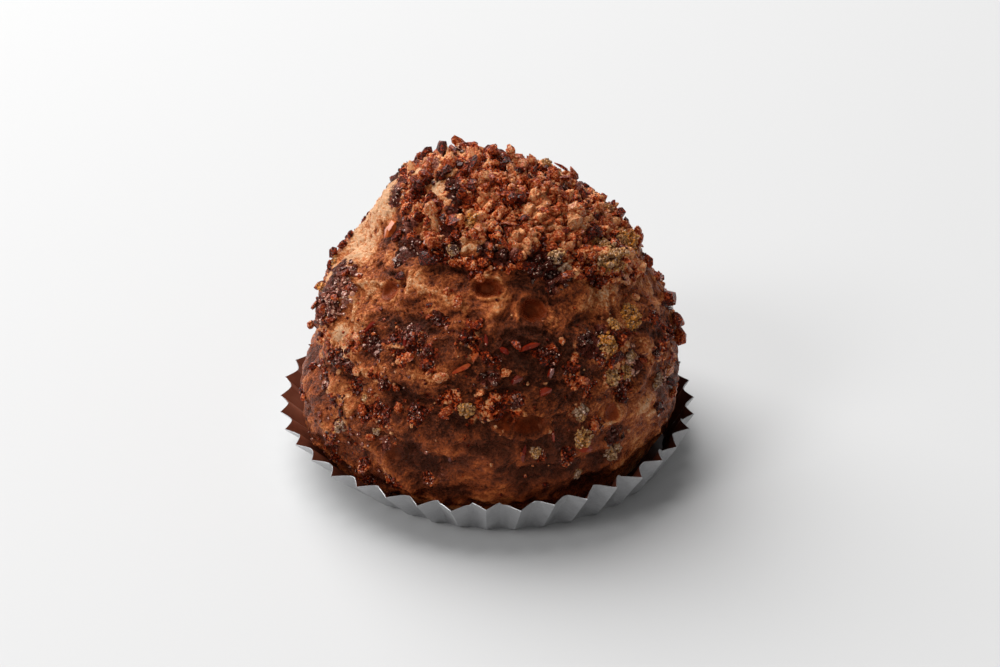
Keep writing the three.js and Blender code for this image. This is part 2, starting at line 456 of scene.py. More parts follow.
def gravel(size, salt):
    """For each corner: distance to the middle of its crumb and to the next crumb's, in sizes, the way from
    its middle, and three numbers from 0 to 1 that its crumb has to itself."""
    spots = dome / size
    home = np.floor(spots).astype(np.int64)
    first = np.full(len(dome), BEYOND_ALL)
    second = first.copy()
    owner = np.zeros(len(dome), dtype=np.uint32)
    offset = np.zeros_like(dome)
    for step in np.ndindex(3, 3, 3):
        cells = home + step - 1
        mark = hashed(cells, salt)
        way = spots - cells - thirds(mark, 0)
        gap = (way**2).sum(axis=1)
        closer = gap < first
        second = np.where(closer, first, np.minimum(second, gap))
        first = np.where(closer, gap, first)
        owner = np.where(closer, mark, owner)
        offset[closer] = way[closer]
    owner = (owner ^ owner >> np.uint32(9)) * HASH_MIX
    return np.sqrt(first), np.sqrt(second), offset, thirds(owner, 2)


# %% [markdown]
# Features that the picture shows are placed by their pixel, on the corner that appears nearest to it.
# Those on the side it doesn't show are placed by azimuth and height. Both kinds of place can stand in the
# same list.

# %% Places on the dome
Seen = namedtuple("Seen", "x y")
Around = namedtuple("Around", "azimuth height")
SHIFT = np.array((SHELL_SHIFT, 0.0, 0.0))
CROWN_THICKNESS = 0.4
CROWN_FROM, CROWN_FULL = 46, 51
BIG_LUMP, SMALL_LUMP = 9.0, 4.0


def corner_at(pixel, pictured, facing):
    """The corner on the camera's side that appears nearest to a pixel."""
    gap = np.hypot(pictured[:, 0] - pixel.x, pictured[:, 1] - pixel.y)
    return int(np.argmin(np.where(facing, gap, np.inf)))


swelling = baked_swelling(dome)
lumps = 0.8 * rough(BIG_LUMP, salt=1) + 0.5 * rough(SMALL_LUMP, salt=2)
crown_start = smoothstep(heights, CROWN_FROM, CROWN_FULL)
risen = swelling + lumps * (1 - 0.5 * crown_start) + CROWN_THICKNESS * crown_start
dome_pictured = picture_of(dome + directions * risen[:, None] + SHIFT)
dome_facing = ((np.array(camera_place) - dome) * directions).sum(axis=1) > 0


def place_of(where):
    if isinstance(where, Around):
        return dome_point(*where)
    return dome[corner_at(where, dome_pictured, dome_facing)]


def patch(where, wide, tall):
    """Distance of each corner from a place, counted in half-widths and half-heights of a patch there."""
    middle = place_of(where)
    level = np.array((-middle[1], middle[0], 0.0)) / math.hypot(middle[0], middle[1])
    offset = dome - middle
    across = offset @ level
    rest = np.sqrt(np.maximum(0.0, (offset**2).sum(axis=1) - across**2))
    return np.hypot(across / wide, rest / tall)


def off_line(line):
    """Distance of each corner from a line through several places."""
    places = [place_of(where) for where in line]
    nearest = np.full(len(dome), np.inf)
    for start, end in zip(places, places[1:]):
        along = end - start
        share = np.clip((dome - start) @ along / (along @ along), 0.0, 1.0)
        nearest = np.minimum(nearest, np.linalg.norm(dome - start - share[:, None] * along, axis=1))
    return nearest


PICTURE_MIDDLE = Seen(IMAGE_WIDTH / 2, IMAGE_HEIGHT / 2)
print("the picture's middle is on the dome at", np.round(place_of(PICTURE_MIDDLE), 1), "mm")

# %% [markdown]
# The crumbs on this puff are baked into it. Its crown is a bed of sugar and nut crumbs that thins out into
# bare skin, and patches of burnt sugar, sugar lumps and crumbs lie below it. Loose crumbs alone would seem
# to float on a smooth shell, so the script first maps where each bed lies, as a share from 0 to 1 on every
# corner. The relief, the colours and the loose crumbs all follow that map.

# %% Crown and bare skin
CROWN_EDGE = 50.3
CROWN_EDGE_DROP = 9.5
CROWN_EDGE_RISE, CROWN_RISE_AT, CROWN_RISE_REACH = 5.5, -95.0, 26.0
BARE_SLOPE = [  # place, half-width, half-height
    (Seen(370, 240), 5.2, 6.5),
    (Seen(381, 212), 4.0, 6.0),
    (Around(-108, 48.5), 6.0, 5.0),
]
BALD_SPOTS = [  # place and half-width, where skin shows through the crown
    (Seen(437, 187), 3.0),
    (Seen(449, 198), 2.2),
    (Seen(418, 174), 1.8),
    (Seen(451, 170), 1.8),
    (Seen(415, 213), 2.4),
    (Seen(421, 228), 2.2),
    (Seen(471, 248), 2.6),
    (Seen(393, 262), 2.2),
    (Seen(390, 212), 2.0),
]
FRAY_SIZE = 2.4

frayed = rough(FRAY_SIZE, salt=17)
bare = np.zeros(len(dome))
for slope in BARE_SLOPE:
    bare = np.maximum(bare, np.clip(1.5 * bell(patch(*slope) + 0.2 * frayed, 0.62), 0, 1))
bald = np.zeros(len(dome))
for where, half in BALD_SPOTS:
    bald = np.maximum(bald, 1 - smoothstep(patch(where, half, half) + 0.5 * frayed, 0.5, 1.0))
print("bare skin:", round(float(bare.mean()), 3), "bald spots:", len(BALD_SPOTS))

# %% Patches that the picture shows
BURNT_SEEN = [  # pixel, width, tone
    # Three patches under the crown's edge, at (546, 262), (556, 275) and (536, 271), are partly burnt sugar
    # and partly painted shade
    (Seen(492, 250), 5.0, 0.1), (Seen(508, 253), 5.0, 0.1), (Seen(546, 262), 5.5, 0.05),
    (Seen(534, 260), 3.5, 0.08), (Seen(401, 254), 4.0, 0.25), (Seen(399, 262), 3.0, 0.2),
    (Seen(564, 188), 4.5, 0.2), (Seen(455, 190), 4.0, 0.12), (Seen(401, 190), 4.0, 0.3),
    (Seen(393, 183), 4.0, 0.25), (Seen(398, 200), 4.5, 0.2), (Seen(410, 222), 4.0, 0.3),
    (Seen(405, 236), 3.6, 0.15), (Seen(416, 246), 4.0, 0.2), (Seen(430, 242), 3.5, 0.15),
    (Seen(447, 230), 4.0, 0.4), (Seen(455, 206), 4.0, 0.15), (Seen(452, 248), 3.4, 0.3),
    (Seen(452, 182), 3.0, 0.05), (Seen(348, 268), 4.8, 0.4), (Seen(345, 280), 6.2, 0.6),
    (Seen(340, 292), 6.8, 0.62), (Seen(333, 304), 6.4, 0.6), (Seen(326, 316), 5.4, 0.5),
    (Seen(556, 275), 6.5, 0.05), (Seen(536, 271), 4.0, 0.08), (Seen(377, 345), 4.2, 0.25),
    (Seen(438, 319), 3.2, 0.35), (Seen(412, 332), 4.0, 0.3), (Seen(339, 360), 3.6, 0.45),
    (Seen(351, 369), 2.6, 0.4), (Seen(326, 384), 2.4, 0.4), (Seen(589, 345), 5.6, 0.15),
    (Seen(603, 336), 4.2, 0.2), (Seen(632, 361), 6.0, 1.0), (Seen(622, 384), 3.8, 0.5),
    (Seen(664, 376), 4.0, 0.85), (Seen(655, 352), 3.4, 0.25), (Seen(614, 435), 5.0, 0.2),
    (Seen(489, 378), 4.0, 0.2), (Seen(386, 445), 2.4, 0.4), (Seen(383, 385), 2.4, 0.4),
    (Seen(517, 404), 2.4, 0.4), (Seen(585, 411), 2.4, 0.35),
]
SUGAR_SEEN = [  # pixel, width, tone
    (Seen(611, 258), 7.0, 0.42), (Seen(602, 243), 3.2, 0.5), (Seen(626, 243), 6.0, 0.8),
    (Seen(607, 343), 4.0, 0.9), (Seen(631, 317), 5.0, 0.8), (Seen(614, 324), 2.4, 0.7),
    (Seen(613, 377), 3.6, 0.4), (Seen(625, 373), 3.4, 0.6), (Seen(630, 357), 3.0, 0.1),
    (Seen(658, 381), 3.6, 0.05), (Seen(584, 439), 3.8, 0.6), (Seen(612, 452), 3.6, 0.2),
    (Seen(466, 410), 3.2, 0.6), (Seen(472, 220), 3.0, 0.95), (Seen(546, 166), 4.2, 0.5),
    (Seen(558, 172), 3.0, 0.6), (Seen(511, 154), 2.6, 0.35), (Seen(536, 452), 2.2, 0.3),
    (Seen(581, 412), 3.2, 0.0), (Seen(557, 257), 2.8, 0.3), (Seen(566, 267), 2.4, 0.15),
    (Seen(612, 205), 2.6, 0.5), (Seen(453, 250), 2.0, 0.05), (Seen(331, 260), 3.0, 0.6),
    (Seen(320, 286), 2.8, 0.8), (Seen(340, 425), 2.4, 0.1), (Seen(376, 431), 1.4, 0.1),
    (Seen(364, 399), 1.6, 0.4), (Seen(577, 473), 2.2, 0.1),
]
CRUMBS_SEEN = [  # pixel, width, tone
    (Seen(337, 358), 5.0, 0.16), (Seen(349, 367), 4.0, 0.12), (Seen(326, 376), 2.8, 0.2),
    (Seen(357, 384), 4.4, 0.12), (Seen(385, 383), 3.6, 0.14), (Seen(337, 399), 2.8, 0.22),
    (Seen(367, 413), 3.8, 0.14), (Seen(382, 414), 5.0, 0.18), (Seen(417, 414), 4.6, 0.16),
    (Seen(340, 424), 3.4, 0.3), (Seen(331, 440), 3.6, 0.28), (Seen(336, 456), 3.2, 0.16),
    (Seen(365, 463), 2.8, 0.22), (Seen(368, 479), 3.4, 0.22), (Seen(393, 481), 4.2, 0.16),
    (Seen(429, 478), 3.0, 0.3), (Seen(430, 352), 4.4, 0.22), (Seen(429, 366), 3.6, 0.14),
    (Seen(416, 341), 5.0, 0.2), (Seen(398, 338), 4.0, 0.14), (Seen(368, 337), 4.0, 0.12),
    (Seen(445, 322), 3.0, 0.14), (Seen(470, 338), 3.6, 0.1), (Seen(493, 361), 3.4, 0.16),
    (Seen(550, 355), 4.4, 0.2), (Seen(516, 400), 3.0, 0.22), (Seen(622, 390), 3.4, 0.2),
    (Seen(600, 357), 3.6, 0.14), (Seen(570, 371), 3.6, 0.14), (Seen(567, 456), 3.8, 0.12),
    (Seen(539, 456), 2.6, 0.24), (Seen(596, 425), 3.6, 0.12), (Seen(660, 408), 3.0, 0.1),
    (Seen(668, 330), 4.0, 0.22), (Seen(655, 318), 3.6, 0.12),
]


def bed_of(patches):
    """Where round patches lie on the shell, with frayed edges."""
    covered = np.zeros(len(dome))
    for where, width, _ in patches:
        share = patch(where, width / 2, width / 2) + 0.5 * frayed
        covered = np.maximum(covered, 1 - smoothstep(share, 0.6, 1.1))
    return covered


burnt_bed, sugar_bed, crumb_bed = bed_of(BURNT_SEEN), bed_of(SUGAR_SEEN), bed_of(CRUMBS_SEEN)
print("patches:", len(BURNT_SEEN), "burnt,", len(SUGAR_SEEN), "of sugar,", len(CRUMBS_SEEN), "of crumbs")

# %% Where crumbs cover the shell
CROWN_RAGGED, CROWN_FADE = 1.8, 0.7
SHOULDER_HEIGHT, SHOULDER_DROP, SHOULDER_WIDTH = 33, 4, 6.0
RIGHT_FROM, RIGHT_FULL, RIGHT_END = -60, 30, 120

edge = CROWN_EDGE - CROWN_EDGE_DROP * sunk(azimuths) ** 1.6
edge += CROWN_EDGE_RISE * bell(azimuths - CROWN_RISE_AT, CROWN_RISE_REACH)
crown = smoothstep(heights + CROWN_RAGGED * rough(6.0, salt=4), edge - CROWN_FADE, edge + CROWN_FADE)
crown *= (1 - bare) * (1 - 0.9 * bald)
shoulder = bell(heights - SHOULDER_HEIGHT + SHOULDER_DROP * sunk(azimuths), SHOULDER_WIDTH)
shoulder *= (1 - crown) * (1 - bare)
scabs = np.maximum(smoothstep(rough(6.0, salt=22), 0.1, 0.4) * shoulder, crumb_bed * (1 - crown))
right_side = np.where(np.abs(azimuths) < RIGHT_END, azimuths, 0.0)
right_side = smoothstep(right_side, RIGHT_FROM, RIGHT_FULL)
stains = smoothstep(rough(4.5, salt=41), 0.25, 0.55)
stains *= 0.3 * smoothstep(-heights, -37, -33) + 0.75 * crown * (1 - right_side)
charred = np.maximum(np.maximum(burnt_bed, stains), 0.42 * crumb_bed) * (1 - bare)
crumby = np.maximum(np.maximum(crown, scabs), charred)
print("covered by crumbs:", round(float(crumby.mean()), 2))

# %% [markdown]
# Real choux is never smooth. Its relief is one height for each corner, out along the corner's direction.
# Three sizes of gravel make the crumb bed: slabs, knobs and grit, each tilted and raised by its own amount.
# The skin has soft folds, and fibres that run round the torn belt below the crown. Bubbles that burst left
# smooth hollows with a raised lip, and the dough spread in ridges, most of them on the lower left. This
# could be sculpted by hand, but a list of places and depths is easier to correct.

# %% Gravel, folds and fibres
SLAB_SIZE, KNOB_SIZE, GRIT_SIZE = 2.8, 1.35, 0.66
SLAB_HEIGHT, KNOB_HEIGHT, GRIT_HEIGHT = 2.1, 0.7, 0.25
FOLD_SIZE, FIBRE_LENGTH, THREAD_LENGTH = 4.5, 3.0, 1.1
BELT_HEIGHT, BELT_DROP, BELT_WIDTH = 43, 6, 5.0
LOW_FRONT_AT, LOW_FRONT_REACH = 12, 35.0
SMOOTH_BELT = (Seen(520, 300), 12.0, 5.0)


def soft_patch(where, wide, tall):
    """1 in the middle of a patch, and less and less outwards."""
    return bell(patch(where, wide, tall), 0.75)


near, beyond, offset, big = gravel(SLAB_SIZE, 3)
split = np.minimum(1.0, 3 * (beyond - near))
slab = np.minimum(1.0, 2.4 * (beyond - near))
slab *= 0.3 + 0.7 * big[:, 0] + 0.9 * (offset * (2 * big - 1)).sum(axis=1)
near, _, _, middling = gravel(KNOB_SIZE, 8)
knobs = np.sqrt(np.maximum(0.0, 1 - (near / 0.72) ** 2)) * (0.4 + 0.6 * middling[:, 0])
near = gravel(GRIT_SIZE, 9)[0]
grit = np.sqrt(np.maximum(0.0, 1 - (near / 0.75) ** 2))
bed = SLAB_HEIGHT * (slab - 0.5) + KNOB_HEIGHT * (knobs - 0.4) + GRIT_HEIGHT * (grit - 0.5)

warp = 2.2 * np.stack([rough(7.0, octaves=2, salt=s) for s in (11, 12, 13)], axis=1)
drawn = dome * np.array((0.85, 0.85, 1.2)) + warp
folds = rough(FOLD_SIZE, octaves=2, salt=14, points=dome * np.array((0.5, 0.5, 1.5)) + warp)
fibres = 1 - np.abs(rough(FIBRE_LENGTH, octaves=4, salt=6, points=drawn)) * 2.4
threads = 1 - np.abs(rough(THREAD_LENGTH, octaves=2, salt=7, points=drawn)) * 2.4
belt = bell(heights - BELT_HEIGHT + BELT_DROP * sunk(azimuths), BELT_WIDTH)
skin = (0.2 + 0.1 * belt) * (fibres - 0.5) + 0.1 * (threads - 0.5) + 0.1 * (grit - 0.5)
# The low front and the middle of the belt are smoother than the rest
calm = 0.75 * bell(azimuths - LOW_FRONT_AT, LOW_FRONT_REACH) * smoothstep(-heights, -27, -19)
calm = np.maximum(calm, 0.5 * soft_patch(*SMOOTH_BELT))
print("crumb bed from", round(bed.min(), 2), "to", round(bed.max(), 2), "mm")

# %% Bubbles and ridges
BUBBLES = [  # place, half-width, half-height, depth
    (Seen(390, 291), 2.2, 2.4, 1.4),
    (Seen(487, 288), 3.2, 2.0, 1.8),
    (Seen(533, 310), 3.4, 2.8, 2.6),
    (Seen(508, 420), 3.0, 2.4, 2.0),
    (Seen(529, 425), 4.0, 2.4, 2.4),
    (Seen(398, 453), 2.3, 1.9, 0.8),
    (Seen(610, 411), 2.0, 1.8, 0.7),
    (Seen(552, 274), 3.4, 1.6, 1.3),
    (Seen(663, 347), 1.8, 2.0, 1.2),
    (Around(118, 38), 4.0, 2.8, 1.7),
    (Around(-118, 27), 4.2, 2.8, 1.6),
    (Around(172, 30), 3.4, 2.6, 1.5),
]
RIDGES = [  # places along it, reach, rise
    ([Seen(309, 377), Seen(318, 405), Seen(338, 440)], 1.1, 1.1),
    ([Seen(336, 386), Seen(359, 426), Seen(388, 461), Seen(415, 485)], 1.1, 1.4),
    ([Seen(391, 420), Seen(426, 443), Seen(450, 447)], 1.3, 0.8),
    ([Seen(445, 300), Seen(470, 303), Seen(497, 311)], 1.6, 0.9),
    ([Seen(466, 321), Seen(492, 323)], 1.1, 0.5),
    ([Seen(537, 413), Seen(560, 404), Seen(576, 398)], 1.1, 0.9),
    ([Seen(646, 343), Seen(648, 362), Seen(636, 390)], 1.1, 0.8),
    ([Seen(348, 276), Seen(366, 281), Seen(386, 273)], 0.9, 0.7),
    ([Seen(402, 300), Seen(432, 304)], 1.4, 0.6),
    ([Seen(349, 269), Seen(342, 288), Seen(327, 314)], 2.6, 2.0),
    ([Seen(350, 386), Seen(364, 412), Seen(384, 440)], 1.0, -0.9),
    ([Seen(322, 385), Seen(332, 415)], 0.9, -0.5),
    ([Seen(400, 391), Seen(420, 401)], 1.1, -0.6),
    ([Seen(596, 290), Seen(590, 315), Seen(598, 330)], 1.0, -0.6),
    ([Around(-102, 53), Around(-135, 50)], 4.5, 2.2),
    ([Around(-114, 46.5), Around(-100, 42)], 3.0, 1.2),
    ([Around(-104, 23.5), Around(-84, 23)], 3.0, -2.4),
    ([Seen(502, 428), Seen(513, 438), Seen(532, 437), Seen(546, 430)], 0.6, 0.5),
    ([Seen(528, 404), Seen(541, 411), Seen(553, 405)], 0.6, 0.5),
    ([Around(110, 22), Around(135, 15), Around(150, 12)], 1.5, 1.0),
    ([Around(-150, 30), Around(-128, 20), Around(-105, 16)], 1.5, 1.1),
    ([Around(155, 42), Around(-165, 40)], 1.6, 0.9),
    ([Around(-160, 22), Around(-140, 14)], 1.1, -0.7),
]

ridged = np.zeros(len(dome))
for line, reach, rise in RIDGES:
    ridged += rise * bell(off_line(line) + 0.7 * frayed, reach)
print("ridges and furrows from", round(ridged.min(), 2), "to", round(ridged.max(), 2), "mm")

# %% Relief of the shell
FOLD_HEIGHT, LIP_HEIGHT, FOOT_FADE = 0.7, 0.45, 8.0

# Crumb bed on the crown and in patches below it, then folds and fibres where no crumbs lie
relief = swelling + lumps * (1 - 0.5 * crown)
relief += (bed + CROWN_THICKNESS + 0.4 * bell(heights - edge - 1.5, 2.5)) * crown
relief += 0.6 * (bed + 0.3) * np.maximum(scabs, charred) * (1 - crown)
relief += FOLD_HEIGHT * folds * (1 - crumby) * (1 - bare)
relief += skin * (1 - crumby) * (1 - calm) + 0.2 * (grit - 0.5) * bare + 0.6 * (knobs - 0.3) * sugar_bed
relief += ridged

hollow = np.zeros(len(dome))
lips = np.zeros(len(dome))
for where, wide, tall, depth in BUBBLES:
    share = patch(where, wide, tall) + 0.12 * frayed
    inside = 1 - smoothstep(share, 0.72, 0.98)
    relief = relief * (1 - inside) + (swelling + 0.4) * inside - depth * (1 - smoothstep(share, 0.3, 1.0))
    rim = bell(share - 1.1, 0.12)
    relief += LIP_HEIGHT * rim
    lips = np.maximum(lips, rim)
    hollow = np.maximum(hollow, inside)
relief *= smoothstep(heights, SHELL_FLOOR, SHELL_FLOOR + FOOT_FADE)

shell_points = dome + directions * relief[:, None] + SHIFT
for mesh, points in zip(shell_meshes, np.split(shell_points, len(shell_meshes))):
    mesh.vertices.foreach_set("co", (points * MM).ravel())
    mesh.shade_smooth()
    mesh.update()
print("relief from", round(relief.min(), 2), "to", round(relief.max(), 2), "mm")

# %% [markdown]
# How brown the shell is changes slowly over it: pale gold where the dough rose late, dark where sugar ran.
# It could be painted by hand, but a list of places can be corrected one by one. So the script paints it on
# the corners as an attribute, and the material adds the fine part. Part of it is painted light and shade.
# More attributes say where the crumb bed lies and how toasted each of its crumbs is, and the toasting also
# carries painted shade in the gaps between crumbs.

# %% Browning
BROWNING_BASE = 0.5
BROWNING = [  # place, half-width, half-height, change
    (Seen(366, 243), 7.5, 9.5, -0.38),  # bare slope and the strip above it
    (Around(-106, 47.5), 6.0, 5.0, -0.4),
    (Seen(388, 205), 3.0, 4.0, -0.4),
    (Seen(437, 189), 4.0, 4.0, -0.5),
    (Seen(418, 174), 2.4, 2.4, -0.4),
    (Seen(418, 220), 4.0, 4.0, -0.25),
    (Seen(471, 248), 3.0, 2.0, -0.25),
    (Seen(340, 340), 3.4, 4.4, -0.35),  # left of the belt
    (Seen(372, 294), 2.5, 2.5, -0.1),
    (Seen(389, 234), 1.4, 3.4, 0.55),  # flap on the slope
    (Seen(606, 298), 8.0, 5.0, -0.3),  # right of the belt
    (Seen(636, 277), 2.5, 2.0, -0.35),
    (Seen(646, 359), 1.6, 4.0, -0.12),
    (Seen(651, 416), 3.4, 3.8, -0.52),  # low on the right
    (Seen(633, 446), 2.0, 2.2, -0.25),
    (Seen(465, 472), 5.5, 5.0, -0.15),  # low front
    (Seen(510, 420), 16.0, 9.0, 0.25),
    (Seen(470, 340), 7.0, 3.0, 0.35),  # dark shoulder
    (Seen(540, 340), 8.0, 3.0, 0.3),
    (Seen(500, 370), 9.0, 3.4, 0.4),
    (Seen(560, 360), 7.0, 3.6, 0.35),
    (Seen(415, 335), 5.0, 2.6, 0.25),
    (Seen(585, 345), 3.0, 2.6, 0.25),
    (Seen(405, 393), 3.0, 2.2, 0.25),
    (Seen(455, 415), 3.0, 2.6, 0.35),
    (Seen(620, 415), 8.0, 6.0, -0.25),
    (Seen(545, 475), 6.0, 3.6, 0.1),
    (Seen(430, 470), 4.0, 3.4, 0.1),
    # Painted shade under the crown's overhanging edge
    (Seen(440, 266), 5.0, 1.8, 0.25),
    (Seen(552, 274), 6.0, 1.8, 0.3),
    (Seen(412, 452), 4.5, 2.0, 0.2),  # dark band low on the left
    (Seen(335, 400), 6.0, 8.0, -0.18),
    (Seen(398, 453), 2.4, 2.0, 0.4),
    (Around(-86, 26), 3.0, 3.0, -0.3),
    (Around(140, 44), 10.0, 6.0, -0.3),
    (Around(-140, 36), 9.0, 6.0, -0.25),
    (Around(160, 20), 9.0, 7.0, 0.2),
    (Around(110, 32), 7.0, 4.0, 0.2),
    (Around(-110, 40), 6.0, 4.0, 0.15),
]

browning = np.full(len(dome), BROWNING_BASE)
for where, wide, tall, change in BROWNING:
    browning += change * soft_patch(where, wide, tall)
# Blotches, paler ridges and darker furrows, partly the dough and partly painted light and shade,
# a darker lower half, and a paler foot that is painted light where the case shades it
browning += 0.3 * rough(5.0, salt=21) - 0.12 * ridged + 0.15 * smoothstep(-heights, -34, -14)
browning -= 0.3 * smoothstep(-heights, -11, -6)
# Painted shade in a dark line under the crown, grain on the bare slope, painted shade in the hollows between
# lumps, paler fold and fibre crests, partly the dough and partly painted light, dark bubbles, and lips
# painted pale as a highlight
browning += 0.12 * bell(heights - edge + 2.2, 1.4) * bell(azimuths, 55.0)
browning += (0.5 * rough(2.6, salt=24) - 0.35 * (grit - 0.5)) * bare
browning += 0.2 * np.clip(-lumps, 0, 1) - 0.15 * (fibres - 0.5) - 0.15 * (threads - 0.5) - 0.3 * folds
browning += 0.7 * (0.82 - browning) * hollow - 0.2 * lips
print("browning on average:", round(float(browning.mean()), 2))

# %% Toasting of the crumb bed
GOLDEN_CROWN = (Seen(580, 218), 11.0, 7.0)

# Each crumb of the bed has its own tone, darker in burnt patches and along the crown's front edge
toasting = 0.55 + 0.08 * right_side * crown + 0.1 * soft_patch(*GOLDEN_CROWN)
toasting += 0.45 * (big[:, 1] - 0.5) + 0.45 * (middling[:, 1] - 0.5)
toasting += 0.8 * rough(5.0, salt=23) - 0.2 * charred - (0.15 + 0.3 * crumb_bed) * (1 - crown)
toasting -= 0.25 * bell(heights - edge - 1.2, 1.8) * bell(azimuths, 50.0)
# Gaps between crumbs are painted darker, as painted shade
painted_gap_shade = 0.4 * (knobs - 0.5) + 0.3 * (grit - 0.5) + 0.75 * (split - 0.75)
print("toasting on average:", round(float(toasting.mean()), 2))


# %% Paint on the corners
def paint(mesh, name, values):
    layer = mesh.attributes.new(name, "FLOAT", "POINT")
    layer.data.foreach_set("value", np.clip(values, 0.0, 1.0).astype(np.float32))


painted = {
    "browning": browning,
    "gravel": crumby,
    # The toasting attribute also carries the painted shade in the gaps between crumbs
    "toasting": toasting + painted_gap_shade,
    "burnt": charred,
    "hollow": np.maximum(hollow, calm),
    "sugared": sugar_bed,
    "rusty": hollow,
}
for name, values in painted.items():
    for mesh, part in zip(shell_meshes, np.split(values, len(shell_meshes))):
        paint(mesh, name, part)
print("painted:", list(painted))

# %% [markdown]
# Baked choux is a thin crackled skin: golden where it stretched, brown over most of it, with fine swirling
# fibres. A ramp gives its browns, the fibres break them up, their crests are painted pale as glints and its
# pores get painted shade, and the same fibres and a fine grain feed the bump. One plain brown with a bump
# would look like clay. Its shine is tinted, because a white gleam would grey the browns. Burst bubbles are
# rusty and glossier, and the crumb bed has the colours of toasted nuts, with painted shade in the gaps
# between crumbs and pale specks that are partly sugar and partly painted glints.

# %% Crumb colours
TOASTED = (
    (0.0, srgb(54, 7, 2)),
    (0.3, srgb(154, 44, 15)),
    (0.6, srgb(222, 98, 42)),
    (1.0, srgb(255, 182, 124)),
)
BURNT = (
    (0.0, srgb(32, 6, 3)),
    (0.4, srgb(88, 33, 26)),
    (0.7, srgb(140, 79, 65)),
    (1.0, srgb(196, 138, 114)),
)
SPECK_AND_GLINT_PALE = srgb(252, 214, 190)
WARM_GLEAM = srgb(255, 170, 120)
SPECK_SIZE = 0.36


def sparkle(shade, colour, share):
    """The colour with pale specks over it, more where the share is higher: partly sugar, partly painted
    glints.
    """
    specks = cloud(shade, SPECK_SIZE, detail=1.0)
    return (specks + share).between(0.88, 0.91).blend(colour, SPECK_AND_GLINT_PALE)


print("stops of the toasted and burnt ramps:", len(TOASTED), len(BURNT))

# %% Patterns of the skin
SWIRL_SIZE, SWIRL_REACH = 6.0, 5.0
FIBRE_SIZE, FROTH_SIZE, GRAIN_SIZE, BLOTCH_SIZE, PORE_SIZE = 0.9, 0.55, 0.45, 4.5, 0.7
crust, principled, shade = finish("baked_crust", Specular_IOR_Level=0.3, Specular_Tint=WARM_GLEAM)
place = shade.node("ShaderNodeTexCoord", output="Object")
swirl_inputs = {"Vector": place, "Scale": per_metre(SWIRL_SIZE), "Detail": 2.0}
swirl = shade.node("ShaderNodeTexNoise", None, swirl_inputs, output="Color")
swirl = shade.node("ShaderNodeVectorMath", {"operation": "SUBTRACT"}, {0: swirl, 1: (0.5, 0.5, 0.5)})
swirl = shade.node("ShaderNodeVectorMath", {"operation": "SCALE"}, {0: swirl, "Scale": SWIRL_REACH * MM})
swirled = shade.node("ShaderNodeVectorMath", {"operation": "ADD"}, {0: place, 1: swirl})
drawn_out = shade.node("ShaderNodeMapping", None, {"Vector": swirled, "Scale": (1.0, 1.0, 1.3)})
fibre = cloud(shade, FIBRE_SIZE, detail=4.0, roughness=0.7, distortion=0.6, vector=drawn_out)
ridge = 1 - shade.math("ABSOLUTE", (fibre - 0.5) * 4.0)
froth = cloud(shade, FROTH_SIZE, detail=3.0, roughness=0.6, vector=drawn_out).between(0.34, 0.66)
grain = cloud(shade, GRAIN_SIZE, detail=2.0, roughness=0.6).between(0.34, 0.66)
blotch = cloud(shade, BLOTCH_SIZE, detail=5.0, roughness=0.65)
crests = ridge.between(0.7, 0.95)
pores = cloud(shade, PORE_SIZE, detail=1.0).between(0.62, 0.68)
print("nodes for the skin's patterns:", len(shade.tree.nodes))

# %% Colours of the shell
gravelly = attribute(shade, "gravel")
burnt_share = attribute(shade, "burnt")
burst = attribute(shade, "hollow")
# The toasting attribute includes painted shade in the gaps between crumbs
toasted = attribute(shade, "toasting")
smooth = 1 - burst * 0.85
brown = attribute(shade, "browning") + (blotch - 0.5) * smooth * 0.5
# Crests of the fibres are painted pale as glints, and pores below are painted darker as shade
brown = brown - ((crests - 0.3) * 0.18 + (froth - 0.5) * 0.14 + (grain - 0.5) * 0.18) * smooth
brown = (brown + pores * smooth * 0.15).clamped()
skin_colour = brown.ramp(
    (0.0, srgb(246, 194, 150)),
    (0.15, srgb(228, 146, 88)),
    (0.32, srgb(198, 108, 58)),
    (0.5, srgb(154, 74, 38)),
    (0.75, srgb(96, 44, 27)),
    (1.0, srgb(46, 16, 10)),
)
rust = brown.ramp((0.4, srgb(168, 66, 22)), (1.0, srgb(44, 10, 4)))
skin_colour = (attribute(shade, "rusty") * 0.7).blend(skin_colour, rust)
crumb_tone = toasted + (grain - 0.5) * 0.7 + (blotch - 0.5) * 0.4
# Pale specks on the crumb bed are partly sugar and partly painted glints
crumb_colour = sparkle(shade, crumb_tone.clamped().ramp(*TOASTED), gravelly * 0.22)
# Burnt patches are a dark grain whose pale bits are partly burnt sugar and partly painted glints
burnt_tone = grain * 0.4 + (blotch - 0.5) * 0.8 + toasted * 0.5
burnt_colour = burnt_tone.clamped().ramp(*BURNT)
sugar_crust = grain.ramp((0.2, srgb(120, 60, 30)), (0.8, srgb(232, 174, 110)))
colour = (gravelly + (blotch - 0.5) * 0.6).between(0.3, 0.7).blend(skin_colour, crumb_colour)
colour = (burnt_share + (froth - 0.5) * 0.5).between(0.3, 0.6).blend(colour, burnt_colour)
colour = (attribute(shade, "sugared") + (grain - 0.5) * 0.6).between(0.4, 0.7).blend(colour, sugar_crust)
fine = ridge * 0.4 + froth * 0.3 + crests * 0.4 - pores * 0.5
fine = (fine * (1 - gravelly * 0.6) + grain * (0.4 + gravelly * 0.2)) * smooth
feed(
    principled,
    Base_Color=colour,
    Roughness=0.34 - gravelly * 0.02 - burst * 0.08 + (grain - 0.5) * 0.16,
    Normal=bump(shade, fine, 0.25),
)
print("nodes of the shell's finish:", len(shade.tree.nodes))


# %% Shell pieces
def piece_of(mesh, *materials):
    """A piece at the origin that rides with the puff."""
    piece = add(mesh.name, mesh)
    for material in materials:
        mesh.materials.append(material)
    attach(piece, "root")
    return piece


